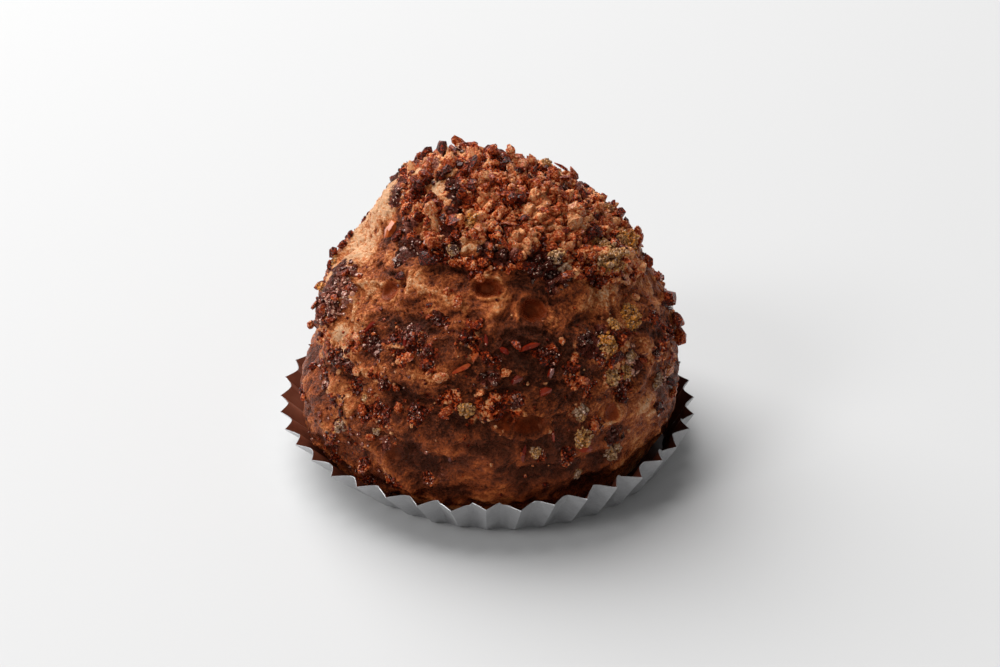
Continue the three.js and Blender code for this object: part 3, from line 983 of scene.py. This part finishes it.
form = bmesh.new()
bmesh.ops.create_circle(form, cap_ends=True, segments=len(WALLS) * GRID, radius=FOOT_RING)
bmesh.ops.reverse_faces(form, faces=form.faces[:])
bmesh.ops.translate(form, vec=Vector((SHELL_SHIFT, 0.0, SHELL_FLOOR)), verts=form.verts[:])
bmesh.ops.scale(form, vec=(MM, MM, MM), verts=form.verts[:])
for mesh in shell_meshes + [mesh_from(form, "shell_foot")]:
    shell = piece_of(mesh, crust)
    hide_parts("puff")
print("shell pieces:", len(shell_meshes) + 1)

# %% [markdown]
# Chopped nuts, burnt sugar and caramel lie on the shell in thousands of bits. Particles could scatter them,
# but then none could be put where the picture shows it. So a few plain shapes are made with mesh operators,
# and every crumb is a copy of one of them, turned, stretched and set into the shell. Crumbs of each kind
# are one joined mesh, and a number on each crumb's corners tells the material how dark it is.

# %% Corners of the shell to set crumbs on
shell_normals = np.concatenate([per_corner(mesh, "normal") for mesh in shell_meshes])
corner_area = []
for mesh in shell_meshes:
    area = sum(face.area for face in mesh.polygons) / MM**2
    corner_area.append(np.full(len(mesh.vertices), area / len(mesh.vertices)))
corner_area = np.concatenate(corner_area)
shell_pictured = picture_of(shell_points)
shell_facing = ((np.array(camera_place) - shell_points) * directions).sum(axis=1) > 0
shell_tree = KDTree(len(shell_points))
for i, point in enumerate(shell_points):
    shell_tree.insert(point, i)
shell_tree.balance()


def at_corner(i):
    """Where a corner of the shell is, and the way out there."""
    return Vector(shell_points[i]), Vector(shell_normals[i])


def seat_at(pixel):
    """Where the picture shows the shell at a pixel, and the way out there."""
    return at_corner(corner_at(pixel, shell_pictured, shell_facing))


print("a corner of the shell stands for", round(corner_area.mean(), 3), "square mm")


# %% Crumb shapes
def unit(chance):
    """A random direction."""
    return Vector([chance.gauss(0, 1) for _ in range(3)]).normalized()


def plain_shape(form):
    """Corners and faces of a finished bmesh, which it frees."""
    bmesh.ops.triangulate(form, faces=form.faces[:])
    form.verts.index_update()
    points = np.array([vert.co for vert in form.verts])
    faces = np.array([[vert.index for vert in face.verts] for face in form.faces])
    form.free()
    return points, faces


def cut_by(form, knife, depth):
    """Cuts off what lies beyond a plane, and closes the cut."""
    everything = form.verts[:] + form.edges[:] + form.faces[:]
    bmesh.ops.bisect_plane(form, geom=everything, plane_co=knife * depth, plane_no=knife, clear_outer=True)
    bmesh.ops.holes_fill(form, edges=[edge for edge in form.edges if edge.is_boundary])


def chopped_shape(chance, cuts):
    """A chip of nut: a ball with flat knife cuts."""
    form = bmesh.new()
    bmesh.ops.create_icosphere(form, subdivisions=1, radius=0.6)
    for _ in range(cuts):
        cut_by(form, unit(chance), chance.uniform(0.22, 0.42))
    return plain_shape(form)


def lumpy_shape(chance, unevenness=0.5):
    """A soft crumb or a sliver: a little cube grid blown up and pushed about by noise."""
    form = bmesh.new()
    bmesh.ops.create_cube(form, size=1.0)
    bmesh.ops.subdivide_edges(form, edges=form.edges[:], cuts=1, use_grid_fill=True)
    shift = 10 * unit(chance)
    for vert in form.verts:
        way = vert.co.normalized()
        vert.co = way * 0.5 * (1 + unevenness * noise.noise(1.7 * way + shift))
    return plain_shape(form)


def granule_shape(chance):
    """A sugar crystal: a cube with two corners knocked off."""
    form = bmesh.new()
    bmesh.ops.create_cube(form, size=0.8)
    for _ in range(2):
        cut_by(form, unit(chance), 0.36)
    return plain_shape(form)


SHAPES_OF_A_KIND = 12
CHIP_CUTS, SHARD_CUTS = 4, 7
shape_chance = random.Random(7)
chips = [chopped_shape(shape_chance, CHIP_CUTS) for _ in range(SHAPES_OF_A_KIND)]
slivers = [lumpy_shape(shape_chance) for _ in range(SHAPES_OF_A_KIND)]
shards = [chopped_shape(shape_chance, SHARD_CUTS) for _ in range(SHAPES_OF_A_KIND)]
granules = [granule_shape(shape_chance) for _ in range(SHAPES_OF_A_KIND)]
face_counts = [len(shapes[0][1]) for shapes in (chips, slivers, shards, granules)]
print("triangles of a chip, a sliver, a shard and a granule:", face_counts)


# %% Seats on the shell
class Kind:
    """All crumbs of one kind, gathered and then joined into one mesh."""

    def __init__(self, name, shapes, seed):
        self.name = name
        self.shapes = shapes
        self.chance = random.Random(seed)
        self.dice = np.random.default_rng(seed)
        self.points = []
        self.faces = []
        self.tones = []
        self.count = 0
        self.corners = 0

    def seat(self, place, normal, size, tone, lift=0.2, lean=35.0, along=None):
        """One crumb: size is its length, width and thickness, lift how far its middle stands out.
        It turns at random, or lies along a given direction."""
        points, faces = self.chance.choice(self.shapes)
        tilt = Matrix.Rotation(math.radians(lean) * self.chance.uniform(-1, 1), 3, "X")
        if along is None:
            spin = Matrix.Rotation(self.chance.uniform(0, 2 * math.pi), 3, "Z")
            stand = normal.to_track_quat("Z", "Y").to_matrix() @ tilt @ spin
        else:
            forward = along.normalized()
            side = normal.cross(forward).normalized()
            stand = Matrix((forward, side, forward.cross(side))).transposed() @ tilt
        turn = np.array(stand @ Matrix.Diagonal(Vector(size)))
        self.points.append(points @ turn.T + np.array(place + normal * lift))
        self.faces.append(faces + self.corners)
        self.tones.append(np.full(len(points), tone))
        self.corners += len(points)
        self.count += 1

    def scatter(self, per_mm2):
        """Corners of the shell picked at random, as many to the square millimetre as each one asks for."""
        return np.flatnonzero(self.dice.random(len(per_mm2)) < per_mm2 * corner_area)

    def mesh(self):
        made = bpy.data.meshes.new(self.name)
        made.from_pydata(np.concatenate(self.points) * MM, [], np.concatenate(self.faces).tolist())
        made.update()
        paint(made, "tone", np.concatenate(self.tones))
        return made


# %% Heaps and strewn granules
ANY_WAY = 90.0  # degrees of lean


def heap(kind, place, normal, width, tone, tall=0.1, grain=(0.3, 0.75), fill=0.55):
    """Granules heaped within a round patch of the shell."""
    sideways = normal.orthogonal().normalized()
    usual = sum(grain) / 2
    for _ in range(int(fill * (width / usual) ** 2)):
        turn = kind.chance.uniform(0, 2 * math.pi)
        reach = width / 2 * math.sqrt(kind.chance.random())
        step = Matrix.Rotation(turn, 3, normal) @ sideways * reach
        spot, i, _ = shell_tree.find(place + step)
        out = Vector(shell_normals[i])
        rise = (1 - (2 * reach / width) ** 2) * kind.chance.uniform(0, tall) * width
        size = kind.chance.uniform(*grain)
        stretch = [size * kind.chance.uniform(0.6, 1.4) for _ in range(3)]
        kind.seat(spot, out, stretch, tone + kind.chance.gauss(0, 0.16), rise - 0.15 * size, lean=ANY_WAY)


def strew(kind, per_mm2, sizes, tone_at, lift):
    """Single granules strewn over the shell, each with the tone of its corner."""
    for i in kind.scatter(per_mm2):
        size = kind.chance.uniform(*sizes)
        tone = tone_at(i)
        kind.seat(*at_corner(i), [size] * 3, tone, lift=lift * size, lean=ANY_WAY)


# %% [markdown]
# Loose bits cover the crumb bed: granules under a millimetre, broken bits of one or two, and chips of
# nut. They are orange brown towards the right and dark on the left, lie thick on the crown and thin out
# in patches below it. Rows of them would look planted, so corners of the shell are picked at random, more
# of them where the map asks for more.

# %% Scattered crumbs
SUGAR_CLEARANCE = 1.4
PALEST_NUT = 0.78
LOW_LEFT = (Seen(345, 415), 10.0, 13.0)

sugar_room = bed_of([(where, SUGAR_CLEARANCE * width, tone) for where, width, tone in SUGAR_SEEN])
open_crust = (1 - hollow) * (1 - bare) * (1 - sugar_room) * (1 - 0.8 * burnt_bed)
low_patches = smoothstep(rough(6.0, salt=31), 0.0, 0.5) * bell(heights - 19, 7.0) * (1 - crown)
low_left = soft_patch(*LOW_LEFT) * (1 - bare)

crumble = Kind("crumble", granules, 31)


def toasted_tone(i):
    return toasting[i] + crumble.chance.gauss(0.1, 0.28)


fine_share = 0.35 * crown + 0.45 * scabs + 0.1 * shoulder + 0.06 * low_patches
strew(crumble, fine_share * open_crust, (0.3, 0.7), toasted_tone, 0.15)
strew(crumble, 0.15 * low_left * open_crust, (0.3, 0.8), lambda i: crumble.chance.uniform(0.05, 0.4), 0.1)

nuts = Kind("nut_chips", chips + slivers, 32)
for i in nuts.scatter((0.15 * crown + 0.04 * scabs + 0.01 * shoulder + 0.006 * low_patches) * open_crust):
    size = 1.1 + 1.7 * nuts.chance.random() ** 2
    stretch = [size * nuts.chance.uniform(0.6, 1.2) for _ in range(3)]
    tone = min(PALEST_NUT, toasting[i] + nuts.chance.gauss(-0.04, 0.2))
    nuts.seat(*at_corner(i), stretch, tone, lift=0.1 * size, lean=ANY_WAY)
for i in nuts.scatter((0.035 * crown + 0.025 * scabs + 0.004 * shoulder) * open_crust):
    size = nuts.chance.uniform(1.8, 3.0)
    stretch = (size, size * nuts.chance.uniform(0.5, 0.85), size * nuts.chance.uniform(0.35, 0.6))
    tone = min(PALEST_NUT, toasting[i] + nuts.chance.gauss(-0.12, 0.22))
    nuts.seat(*at_corner(i), stretch, tone, lift=0.2 * size)
for i in nuts.scatter(crown**4 * (0.03 - 0.01 * right_side) * open_crust):
    size = nuts.chance.uniform(2.4, 4.2)
    stretch = (size, size * nuts.chance.uniform(0.5, 0.8), size * nuts.chance.uniform(0.18, 0.3))
    tone = nuts.chance.uniform(0.02, 0.3) + 0.35 * right_side[i]
    nuts.seat(*at_corner(i), stretch, tone, lift=0.5, lean=60.0)
print("granules of crumble:", crumble.count, "nut chips:", nuts.count)

# %% [markdown]
# The largest crumbs are what the eye knows this puff by, and chance would put them elsewhere. So they are
# set where the picture shows them. Each list below is for one kind, with the pixel of each crumb, its size
# in millimetres and its tone. A sliver has the pixels of its two ends.

# %% Crumbs placed from the picture
NUTS_SEEN = [  # pixel, length, tone
    (Seen(411, 357), 3.0, 0.55), (Seen(400, 407), 2.4, 0.5), (Seen(363, 409), 2.8, 0.42),
    (Seen(371, 437), 2.0, 0.5), (Seen(341, 372), 1.6, 0.85), (Seen(573, 220), 4.2, 0.95),
    (Seen(546, 222), 3.4, 0.6), (Seen(604, 225), 3.4, 0.65), (Seen(546, 186), 2.8, 0.65),
    (Seen(511, 152), 3.0, 0.7), (Seen(531, 160), 2.6, 0.65), (Seen(578, 212), 2.6, 0.7),
    (Seen(484, 263), 2.0, 0.35), (Seen(457, 302), 3.0, 0.6), (Seen(589, 234), 3.2, 0.05),
    (Seen(428, 261), 4.0, 0.0), (Seen(429, 157), 3.6, 0.06), (Seen(445, 151), 3.6, 0.02),
    (Seen(466, 150), 3.4, 0.3), (Seen(491, 149), 1.8, 0.45), (Seen(429, 197), 3.2, 0.2),
    (Seen(433, 206), 3.2, 0.22), (Seen(426, 175), 2.6, 0.3), (Seen(400, 238), 3.2, 0.1),
    (Seen(318, 323), 2.6, 0.4), (Seen(346, 274), 2.0, 0.3), (Seen(336, 298), 1.8, 0.45),
    (Seen(324, 310), 2.2, 0.4), (Seen(349, 288), 1.8, 0.35), (Seen(330, 320), 2.0, 0.25),
    (Seen(309, 327), 2.4, 0.6), (Seen(312, 303), 2.2, 0.45), (Seen(349, 234), 1.9, 0.15),
    (Seen(340, 242), 2.4, 0.2), (Seen(328, 252), 2.8, 0.15), (Seen(325, 263), 2.2, 0.2),
    (Seen(314, 368), 2.4, 0.2), (Seen(298, 397), 1.9, 0.45), (Seen(396, 386), 2.2, 0.42),
    (Seen(581, 379), 2.8, 0.5), (Seen(519, 264), 2.4, 0.38), (Seen(642, 228), 2.6, 0.55),
    (Seen(650, 241), 2.8, 0.45), (Seen(655, 258), 2.6, 0.3), (Seen(661, 273), 3.0, 0.35),
    (Seen(667, 296), 4.2, 0.22), (Seen(676, 320), 4.2, 0.25), (Seen(681, 334), 3.8, 0.4),
    (Seen(672, 392), 2.4, 0.6), (Seen(445, 416), 2.2, 0.35),
]
SLIVERS_SEEN = [  # pixels of its ends, thickness, tone
    (Seen(517, 351), Seen(538, 344), 1.6, 0.5), (Seen(485, 336), Seen(488, 347), 1.1, 0.45),
    (Seen(500, 348), Seen(507, 353), 1.3, 0.45), (Seen(472, 362), Seen(478, 353), 1.1, 0.8),
    (Seen(454, 373), Seen(470, 364), 1.4, 0.75), (Seen(510, 382), Seen(522, 376), 1.6, 0.3),
    (Seen(547, 379), Seen(551, 369), 1.4, 0.5), (Seen(539, 394), Seen(548, 390), 1.7, 0.5),
    (Seen(522, 461), Seen(524, 443), 1.0, 0.35), (Seen(552, 431), Seen(553, 441), 1.0, 0.5),
    (Seen(580, 450), Seen(592, 447), 1.4, 0.6), (Seen(450, 461), Seen(452, 447), 1.0, 0.2),
    (Seen(365, 332), Seen(376, 322), 1.0, 0.45), (Seen(368, 338), Seen(377, 333), 0.9, 0.9),
    (Seen(404, 346), Seen(406, 333), 1.0, 0.4), (Seen(437, 384), Seen(443, 373), 1.0, 1.0),
    (Seen(408, 172), Seen(408, 161), 0.8, 0.3), (Seen(666, 309), Seen(679, 304), 1.0, 0.1),
    (Seen(484, 198), Seen(487, 188), 1.2, 0.2), (Seen(422, 252), Seen(428, 238), 1.3, 0.3),
    (Seen(396, 224), Seen(389, 239), 2.2, 0.85),
]
caramel = Kind("caramel_slivers", shards, 33)
sugar = Kind("sugar_lumps", granules, 34)
burnt = Kind("burnt_granules", granules + chips, 35)

for pixel, size, tone in NUTS_SEEN:
    place, normal = seat_at(pixel)
    stretch = (size, size * nuts.chance.uniform(0.6, 0.8), size * nuts.chance.uniform(0.5, 0.7))
    nuts.seat(place, normal, stretch, tone, lift=0.2 * size, lean=25.0)
for tail, tip, thick, tone in SLIVERS_SEEN:
    place, normal = seat_at(tail)
    far, far_normal = seat_at(tip)
    along = far - place
    out = (normal + far_normal).normalized()
    size = (max(along.length, 1.5 * thick) * 1.15, thick, 0.7 * thick)
    caramel.seat((place + far) / 2, out, size, tone, lift=0.3 * thick, lean=10.0, along=along)
for pixel, width, tone in SUGAR_SEEN:
    heap(sugar, *seat_at(pixel), width, tone, tall=0.08 * width, grain=(0.35, 0.9), fill=1.5)
for pixel, width, tone in BURNT_SEEN:
    heap(burnt, *seat_at(pixel), width, tone, grain=(0.4, 1.15))
for pixel, width, tone in CRUMBS_SEEN:
    heap(crumble, *seat_at(pixel), width, tone, fill=0.3)
    heap(burnt, *seat_at(pixel), width, tone + 0.2, fill=0.3)
strew(burnt, 0.15 * low_left * open_crust, (0.4, 0.9), lambda i: burnt.chance.uniform(0.2, 0.7), 0.1)
print("seen: sugar granules", sugar.count, "slivers", caramel.count, "burnt granules", burnt.count)

# %% [markdown]
# Round the back, which the picture doesn't show, there is nothing to place crumbs by. Heaps and slivers of
# the same kinds are spread there at random: sugar, burnt sugar and caramel more on the crown than below it,
# and nut crumble only below it.

# %% Crumbs on the side away from the camera
HIDDEN_FROM = 108.0
HIDDEN_LOWEST = 12
hidden_side = (np.abs(azimuths) > HIDDEN_FROM) & (heights > HIDDEN_LOWEST)
hidden = random.Random(36)
for i in sugar.scatter(hidden_side * (0.004 + 0.004 * crown)):
    heap(sugar, *at_corner(i), hidden.uniform(2.0, 4.2), hidden.random(), tall=0.32)
for i in burnt.scatter(hidden_side * (0.005 + 0.006 * crown)):
    heap(burnt, *at_corner(i), hidden.uniform(2.4, 5.0), hidden.uniform(0, 0.5))
for i in crumble.scatter(hidden_side * 0.012 * (1 - crown) * (1 - bare)):
    heap(crumble, *at_corner(i), hidden.uniform(2.0, 5.0), hidden.uniform(0.1, 0.3))
for i in caramel.scatter(hidden_side * (0.004 + 0.004 * crown)):
    size = hidden.uniform(2.0, 4.2)
    caramel.seat(*at_corner(i), (size, 0.4 * size, 0.3 * size), hidden.uniform(0.2, 0.9))
print("with the back: sugar granules", sugar.count, "slivers", caramel.count, "burnt granules", burnt.count)

# %% [markdown]
# Toasted nuts go from dark skin through red brown to gold, with a fine grain that breaks up their shine.
# Burnt sugar is almost black and glints. Caramel is clear red, and the sugar lumps are grainy, yellow or
# grey. Each crumb could have a material to itself, but one to a kind is enough, because its tone picks its
# place on the ramp. Melted sugar glazes all but the lumps: a clear coat whose glints stay white and small.

# %% Toasted nuts
def glazed(name, gleam, coat, coat_roughness):
    """A finish with a warm gleam under a clear coat."""
    coats = {"Coat_Weight": coat, "Coat_Roughness": coat_roughness}
    return finish(name, Specular_IOR_Level=gleam, Specular_Tint=WARM_GLEAM, **coats)


nut_finish, principled, shade = glazed("toasted_nuts", 0.2, 0.2, 0.14)
tone = attribute(shade, "tone")
mottle = cloud(shade, 0.45, detail=3.0, roughness=0.65).between(0.3, 0.7)
nut_colour = (tone + (mottle - 0.5) * 0.65).clamped().ramp(*TOASTED)
# Pale specks on the nuts are partly sugar and partly painted glints
feed(
    principled,
    Base_Color=sparkle(shade, nut_colour, tone * 0.05 + 0.17),
    Roughness=0.3 + (mottle - 0.5) * 0.3,
    Normal=bump(shade, mottle, 0.5),
)

# %% Burnt sugar
burnt_finish, principled, shade = glazed("burnt_crumbs", 0.4, 0.45, 0.1)
tone = attribute(shade, "tone")
mottle = cloud(shade, 0.6, detail=4.0, roughness=0.7)
burnt_colour = (tone + (mottle - 0.5) * 0.6).clamped().ramp(*BURNT)
# Pale specks on the burnt sugar are partly sugar and partly painted glints
burnt_colour = sparkle(shade, burnt_colour, tone * 0.06 + 0.22)
feed(principled, Base_Color=burnt_colour, Roughness=0.2 + (mottle - 0.5) * 0.2)

# %% Caramel
caramel_finish, principled, shade = glazed("caramel", 0.35, 0.6, 0.06)
tone = attribute(shade, "tone")
mottle = cloud(shade, 1.6, detail=2.0)
caramel_colour = (tone + (mottle - 0.5) * 0.4).clamped().ramp(
    (0.0, srgb(44, 4, 2)),
    (0.4, srgb(106, 20, 9)),
    (0.7, srgb(156, 50, 18)),
    (1.0, srgb(216, 118, 56)),
)
# Pale specks on the caramel are painted glints
feed(principled, Base_Color=sparkle(shade, caramel_colour, 0.16), Roughness=0.15 + (mottle - 0.5) * 0.1)

# %% Sugar lumps
sugar_finish, principled, shade = finish("sugar_lumps", Specular_IOR_Level=0.3)
tone = attribute(shade, "tone")
mottle = cloud(shade, 0.5, detail=3.0, roughness=0.7)
sugar_colour = (tone + (mottle - 0.5) * 0.4).clamped().ramp(
    (0.0, srgb(198, 164, 140)),
    (0.3, srgb(212, 168, 118)),
    (0.6, srgb(228, 160, 80)),
    (1.0, srgb(248, 158, 52)),
)
pits = cloud(shade, 0.4, detail=2.0).between(0.3, 0.62)
# Pits between crystals are painted darker, as painted shade, and also sink in the bump
sugar_colour = pits.blend(srgb(150, 92, 54), sugar_colour)
# Pale specks on the lumps are partly sugar and partly painted glints
feed(
    principled,
    Base_Color=sparkle(shade, sugar_colour, 0.25),
    Roughness=0.36 + (mottle - 0.5) * 0.3,
    Normal=bump(shade, pits, 0.3),
)

# %% Crumb pieces
for kind, material, slot in (
    (crumble, nut_finish, "toasted_nuts"),
    (nuts, nut_finish, "toasted_nuts"),
    (burnt, burnt_finish, "burnt_crumbs"),
    (caramel, caramel_finish, "caramel"),
    (sugar, sugar_finish, "sugar_lumps"),
):
    mesh = kind.mesh()
    piece = piece_of(mesh, material)
    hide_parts("puff")
    print(piece.name, len(mesh.polygons), "triangles")

# %% [markdown]
# The paper case is pressed from one round sheet, white outside and brown inside. A cone with a wave on it
# would have even folds, but pressed paper has sharp and shallow ones. So it is a flat disc whose edge is
# extruded up in rows, and each row leans out and follows the folds: sharp where a fold points out, rounder
# where it points in. Solidify gives the sheet its thickness and the inside its own finish.

# %% Folds of the case
PLEATS = 40
CASE_HEIGHT = 9.8
CASE_BASE_RADIUS = 33.0
CASE_RIM_RADIUS = 42.0
PLEAT_DEPTH = 2.9
PLEAT_BASE_SHARE = 0.65
PLEAT_UNEVENNESS = 0.22
RIM_UNEVENNESS = 0.35
RIM_LIFT_AT, RIM_LIFT_REACH, RIM_LIFT = -115.0, 14.0, 1.2
BASE_SHIFT = 3.0
FLATTENED = [(-85.0, 34.0, 0.3), (90.0, 30.0, 0.3)]  # azimuth, reach, share of the depth that is lost
ROOT_ROUNDING = 0.4
ROOT_DEPTH = math.hypot(1, ROOT_ROUNDING) - ROOT_ROUNDING
STREAM_FACTOR, STREAM_STEP, STREAM_SPAN = 1664525, 1013904223, 2**32


def fold_stream(seed):
    """The part's own repeatable numbers from 0 to 1, so that the folds vary as the solid's do."""
    while True:
        seed = (seed * STREAM_FACTOR + STREAM_STEP) % STREAM_SPAN
        yield seed / STREAM_SPAN


stream = fold_stream(PLEATS)
fold_facts = []
for _ in range(PLEATS):
    depth = 1 + PLEAT_UNEVENNESS * (2 * next(stream) - 1)
    rise = RIM_UNEVENNESS * (2 * next(stream) - 1)
    fold_facts.append((depth, rise))


def case_point(azimuth, share):
    """A point of the wall: share is 0 at the base and 1 at the rim."""
    turn = (azimuth % 360) / (360 / PLEATS)
    depth, rise = fold_facts[round(turn) % PLEATS]
    fullness = PLEAT_DEPTH / 2
    for place, reach, lost in FLATTENED:
        fullness *= 1 - lost * float(bell((azimuth - place + 180) % 360 - 180, reach))
    off_tip = 2 * abs(turn - round(turn))
    fold = 2 * (math.hypot(1 - off_tip, ROOT_ROUNDING) - ROOT_ROUNDING) / ROOT_DEPTH - 1
    base = CASE_BASE_RADIUS + BASE_SHIFT * math.sin(math.radians(azimuth))
    middle = base + (CASE_RIM_RADIUS - fullness - base) * share
    fade = PLEAT_BASE_SHARE + (1 - PLEAT_BASE_SHARE) * share
    radius = middle + fold * depth * fullness * fade * float(smoothstep(share, -0.1, 0.15))
    rise += RIM_LIFT * float(bell((azimuth + 180) % 360 - 180 - RIM_LIFT_AT, RIM_LIFT_REACH))
    height = CASE_HEIGHT * share + rise * share**2
    angle = math.radians(azimuth)
    return Vector((radius * math.sin(angle), -radius * math.cos(angle), height))


print("rim in front:", [round(value, 1) for value in case_point(0.0, 1.0)], "mm")

# %% Sheet of the case
SIDES_PER_PLEAT = 12
WALL_ROWS = 9
sheet = bmesh.new()
sides = PLEATS * SIDES_PER_PLEAT
bmesh.ops.create_circle(sheet, cap_ends=True, segments=sides, radius=CASE_BASE_RADIUS)
ring = sheet.edges[:]
for row in range(WALL_ROWS + 1):
    share = row / WALL_ROWS
    if row:
        made = bmesh.ops.extrude_edge_only(sheet, edges=ring)["geom"]
        ring = [item for item in made if isinstance(item, bmesh.types.BMEdge)]
    for vert in {vert for edge in ring for vert in edge.verts}:
        azimuth = math.degrees(math.atan2(vert.co.x, -vert.co.y))
        vert.co = case_point(azimuth, share)
bmesh.ops.recalc_face_normals(sheet, faces=sheet.faces[:])
bmesh.ops.scale(sheet, vec=(MM, MM, MM), verts=sheet.verts[:])
case_mesh = mesh_from(sheet, "pleated_case")
print("paper case:", len(case_mesh.polygons), "faces")

# %% [markdown]
# The outside of the case is white paper with a satin sheen, faintly cloudy. The inside is brown with a
# greasy gloss. It is painted darker on the right, partly fat that the paper drew from the dough, most of it
# there, and partly painted shade, where the puff shades it. One sheet can't have two colours by itself, so
# it carries two materials, and Solidify gives the second to the faces it adds.

# %% Outside of the paper
white_paper, principled, shade = finish("case_paper", Specular_IOR_Level=0.5, Metallic=0.4)
pulp = cloud(shade, 0.7, detail=5.0, roughness=0.65)
cloudy = cloud(shade, 9.0, detail=2.0)
white = (cloudy * 0.5 + pulp * 0.5).ramp((0.3, srgb(164, 164, 166)), (0.7, srgb(200, 200, 201)))
feed(
    principled,
    Base_Color=white,
    Roughness=0.36 + (pulp - 0.5) * 0.2,
    Normal=bump(shade, pulp, 0.03, 0.5),
)

# %% Inside of the paper
SOAKED_AND_SHADED_FROM, SOAKED_AND_SHADED_TO = 16.0, 36.0
brown_paper, principled, shade = finish("case_inside", Coat_Weight=0.4, Coat_Roughness=0.18)
pulp = cloud(shade, 0.8, detail=5.0, roughness=0.65)
grease = cloud(shade, 7.0, detail=3.0)
sideways = shade.node("ShaderNodeSeparateXYZ", None, {0: shade.node("ShaderNodeTexCoord", output="Object")})
# Darker on the right: partly fat from the dough and partly painted shade where the puff shades the inside
soaked_and_shaded = sideways.between(SOAKED_AND_SHADED_FROM * MM, SOAKED_AND_SHADED_TO * MM)
brown = (grease * 0.7 + pulp * 0.3 - soaked_and_shaded * 0.35).ramp(
    (0.0, srgb(54, 25, 18)), (0.3, srgb(106, 56, 42)), (0.7, srgb(150, 90, 68))
)
feed(
    principled,
    Base_Color=brown,
    Roughness=0.34 + (grease - 0.5) * 0.3,
    Normal=bump(shade, pulp, 0.04, 0.5),
)

# %% Case with its thickness
PAPER = 0.16
case = piece_of(case_mesh, white_paper, brown_paper)
thickness = case.modifiers.new("paper thickness", "SOLIDIFY")
thickness.thickness = PAPER * MM
thickness.offset = -1.0
thickness.material_offset = 1
thickness.use_even_offset = True
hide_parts("paper_case")
print("piece:", case.name)

# %% [markdown]
# The floor is a plain pale sheet. A large soft light stands high on the left, behind the puff, so its front
# is in shade and its shadow falls to the right and towards the camera. Light from the front would flatten
# the crumbs, so only a weak fill comes from there, with a pale room all round.

# %% Floor
FLOOR_SIDE = 6.0
FLOOR_GREY = srgb(202, 202, 202)

form = bmesh.new()
bmesh.ops.create_grid(form, x_segments=1, y_segments=1, size=FLOOR_SIDE / 2)
floor = add("floor", mesh_from(form, "floor"))
floor_finish, _, _ = finish("pale_floor", Base_Color=FLOOR_GREY, Roughness=0.7, Specular_IOR_Level=0.2)
floor.data.materials.append(floor_finish)
print("floor of", FLOOR_SIDE, "m")

# %% Light and view
ROOM_WHITE, ROOM_GLOW = srgb(255, 255, 255), 0.21
LIT_POINT = Vector((0.0, 0.0, 0.03))
LIGHTS = [  # name, place and side in metres, watts
    ("key", (-0.82, 0.96, 1.55), 2.0, 71.0),
    ("fill", (-1.3, -0.95, 1.2), 0.6, 12.0),
]

world = bpy.data.worlds.new("room")
bpy.context.scene.world = world
world.use_nodes = True
background = world.node_tree.nodes["Background"]
background.inputs["Color"].default_value = ROOM_WHITE
background.inputs["Strength"].default_value = ROOM_GLOW

for name, place, side, watts in LIGHTS:
    lamp = bpy.data.lights.new(name, "AREA")
    lamp.size = side
    lamp.energy = watts
    holder = add(name, lamp)
    holder.location = place
    holder.rotation_euler = (LIT_POINT - Vector(place)).to_track_quat("-Z", "Y").to_euler()
bpy.context.scene.view_settings.view_transform = "Standard"
print("lights:", len(LIGHTS), "in a pale room")
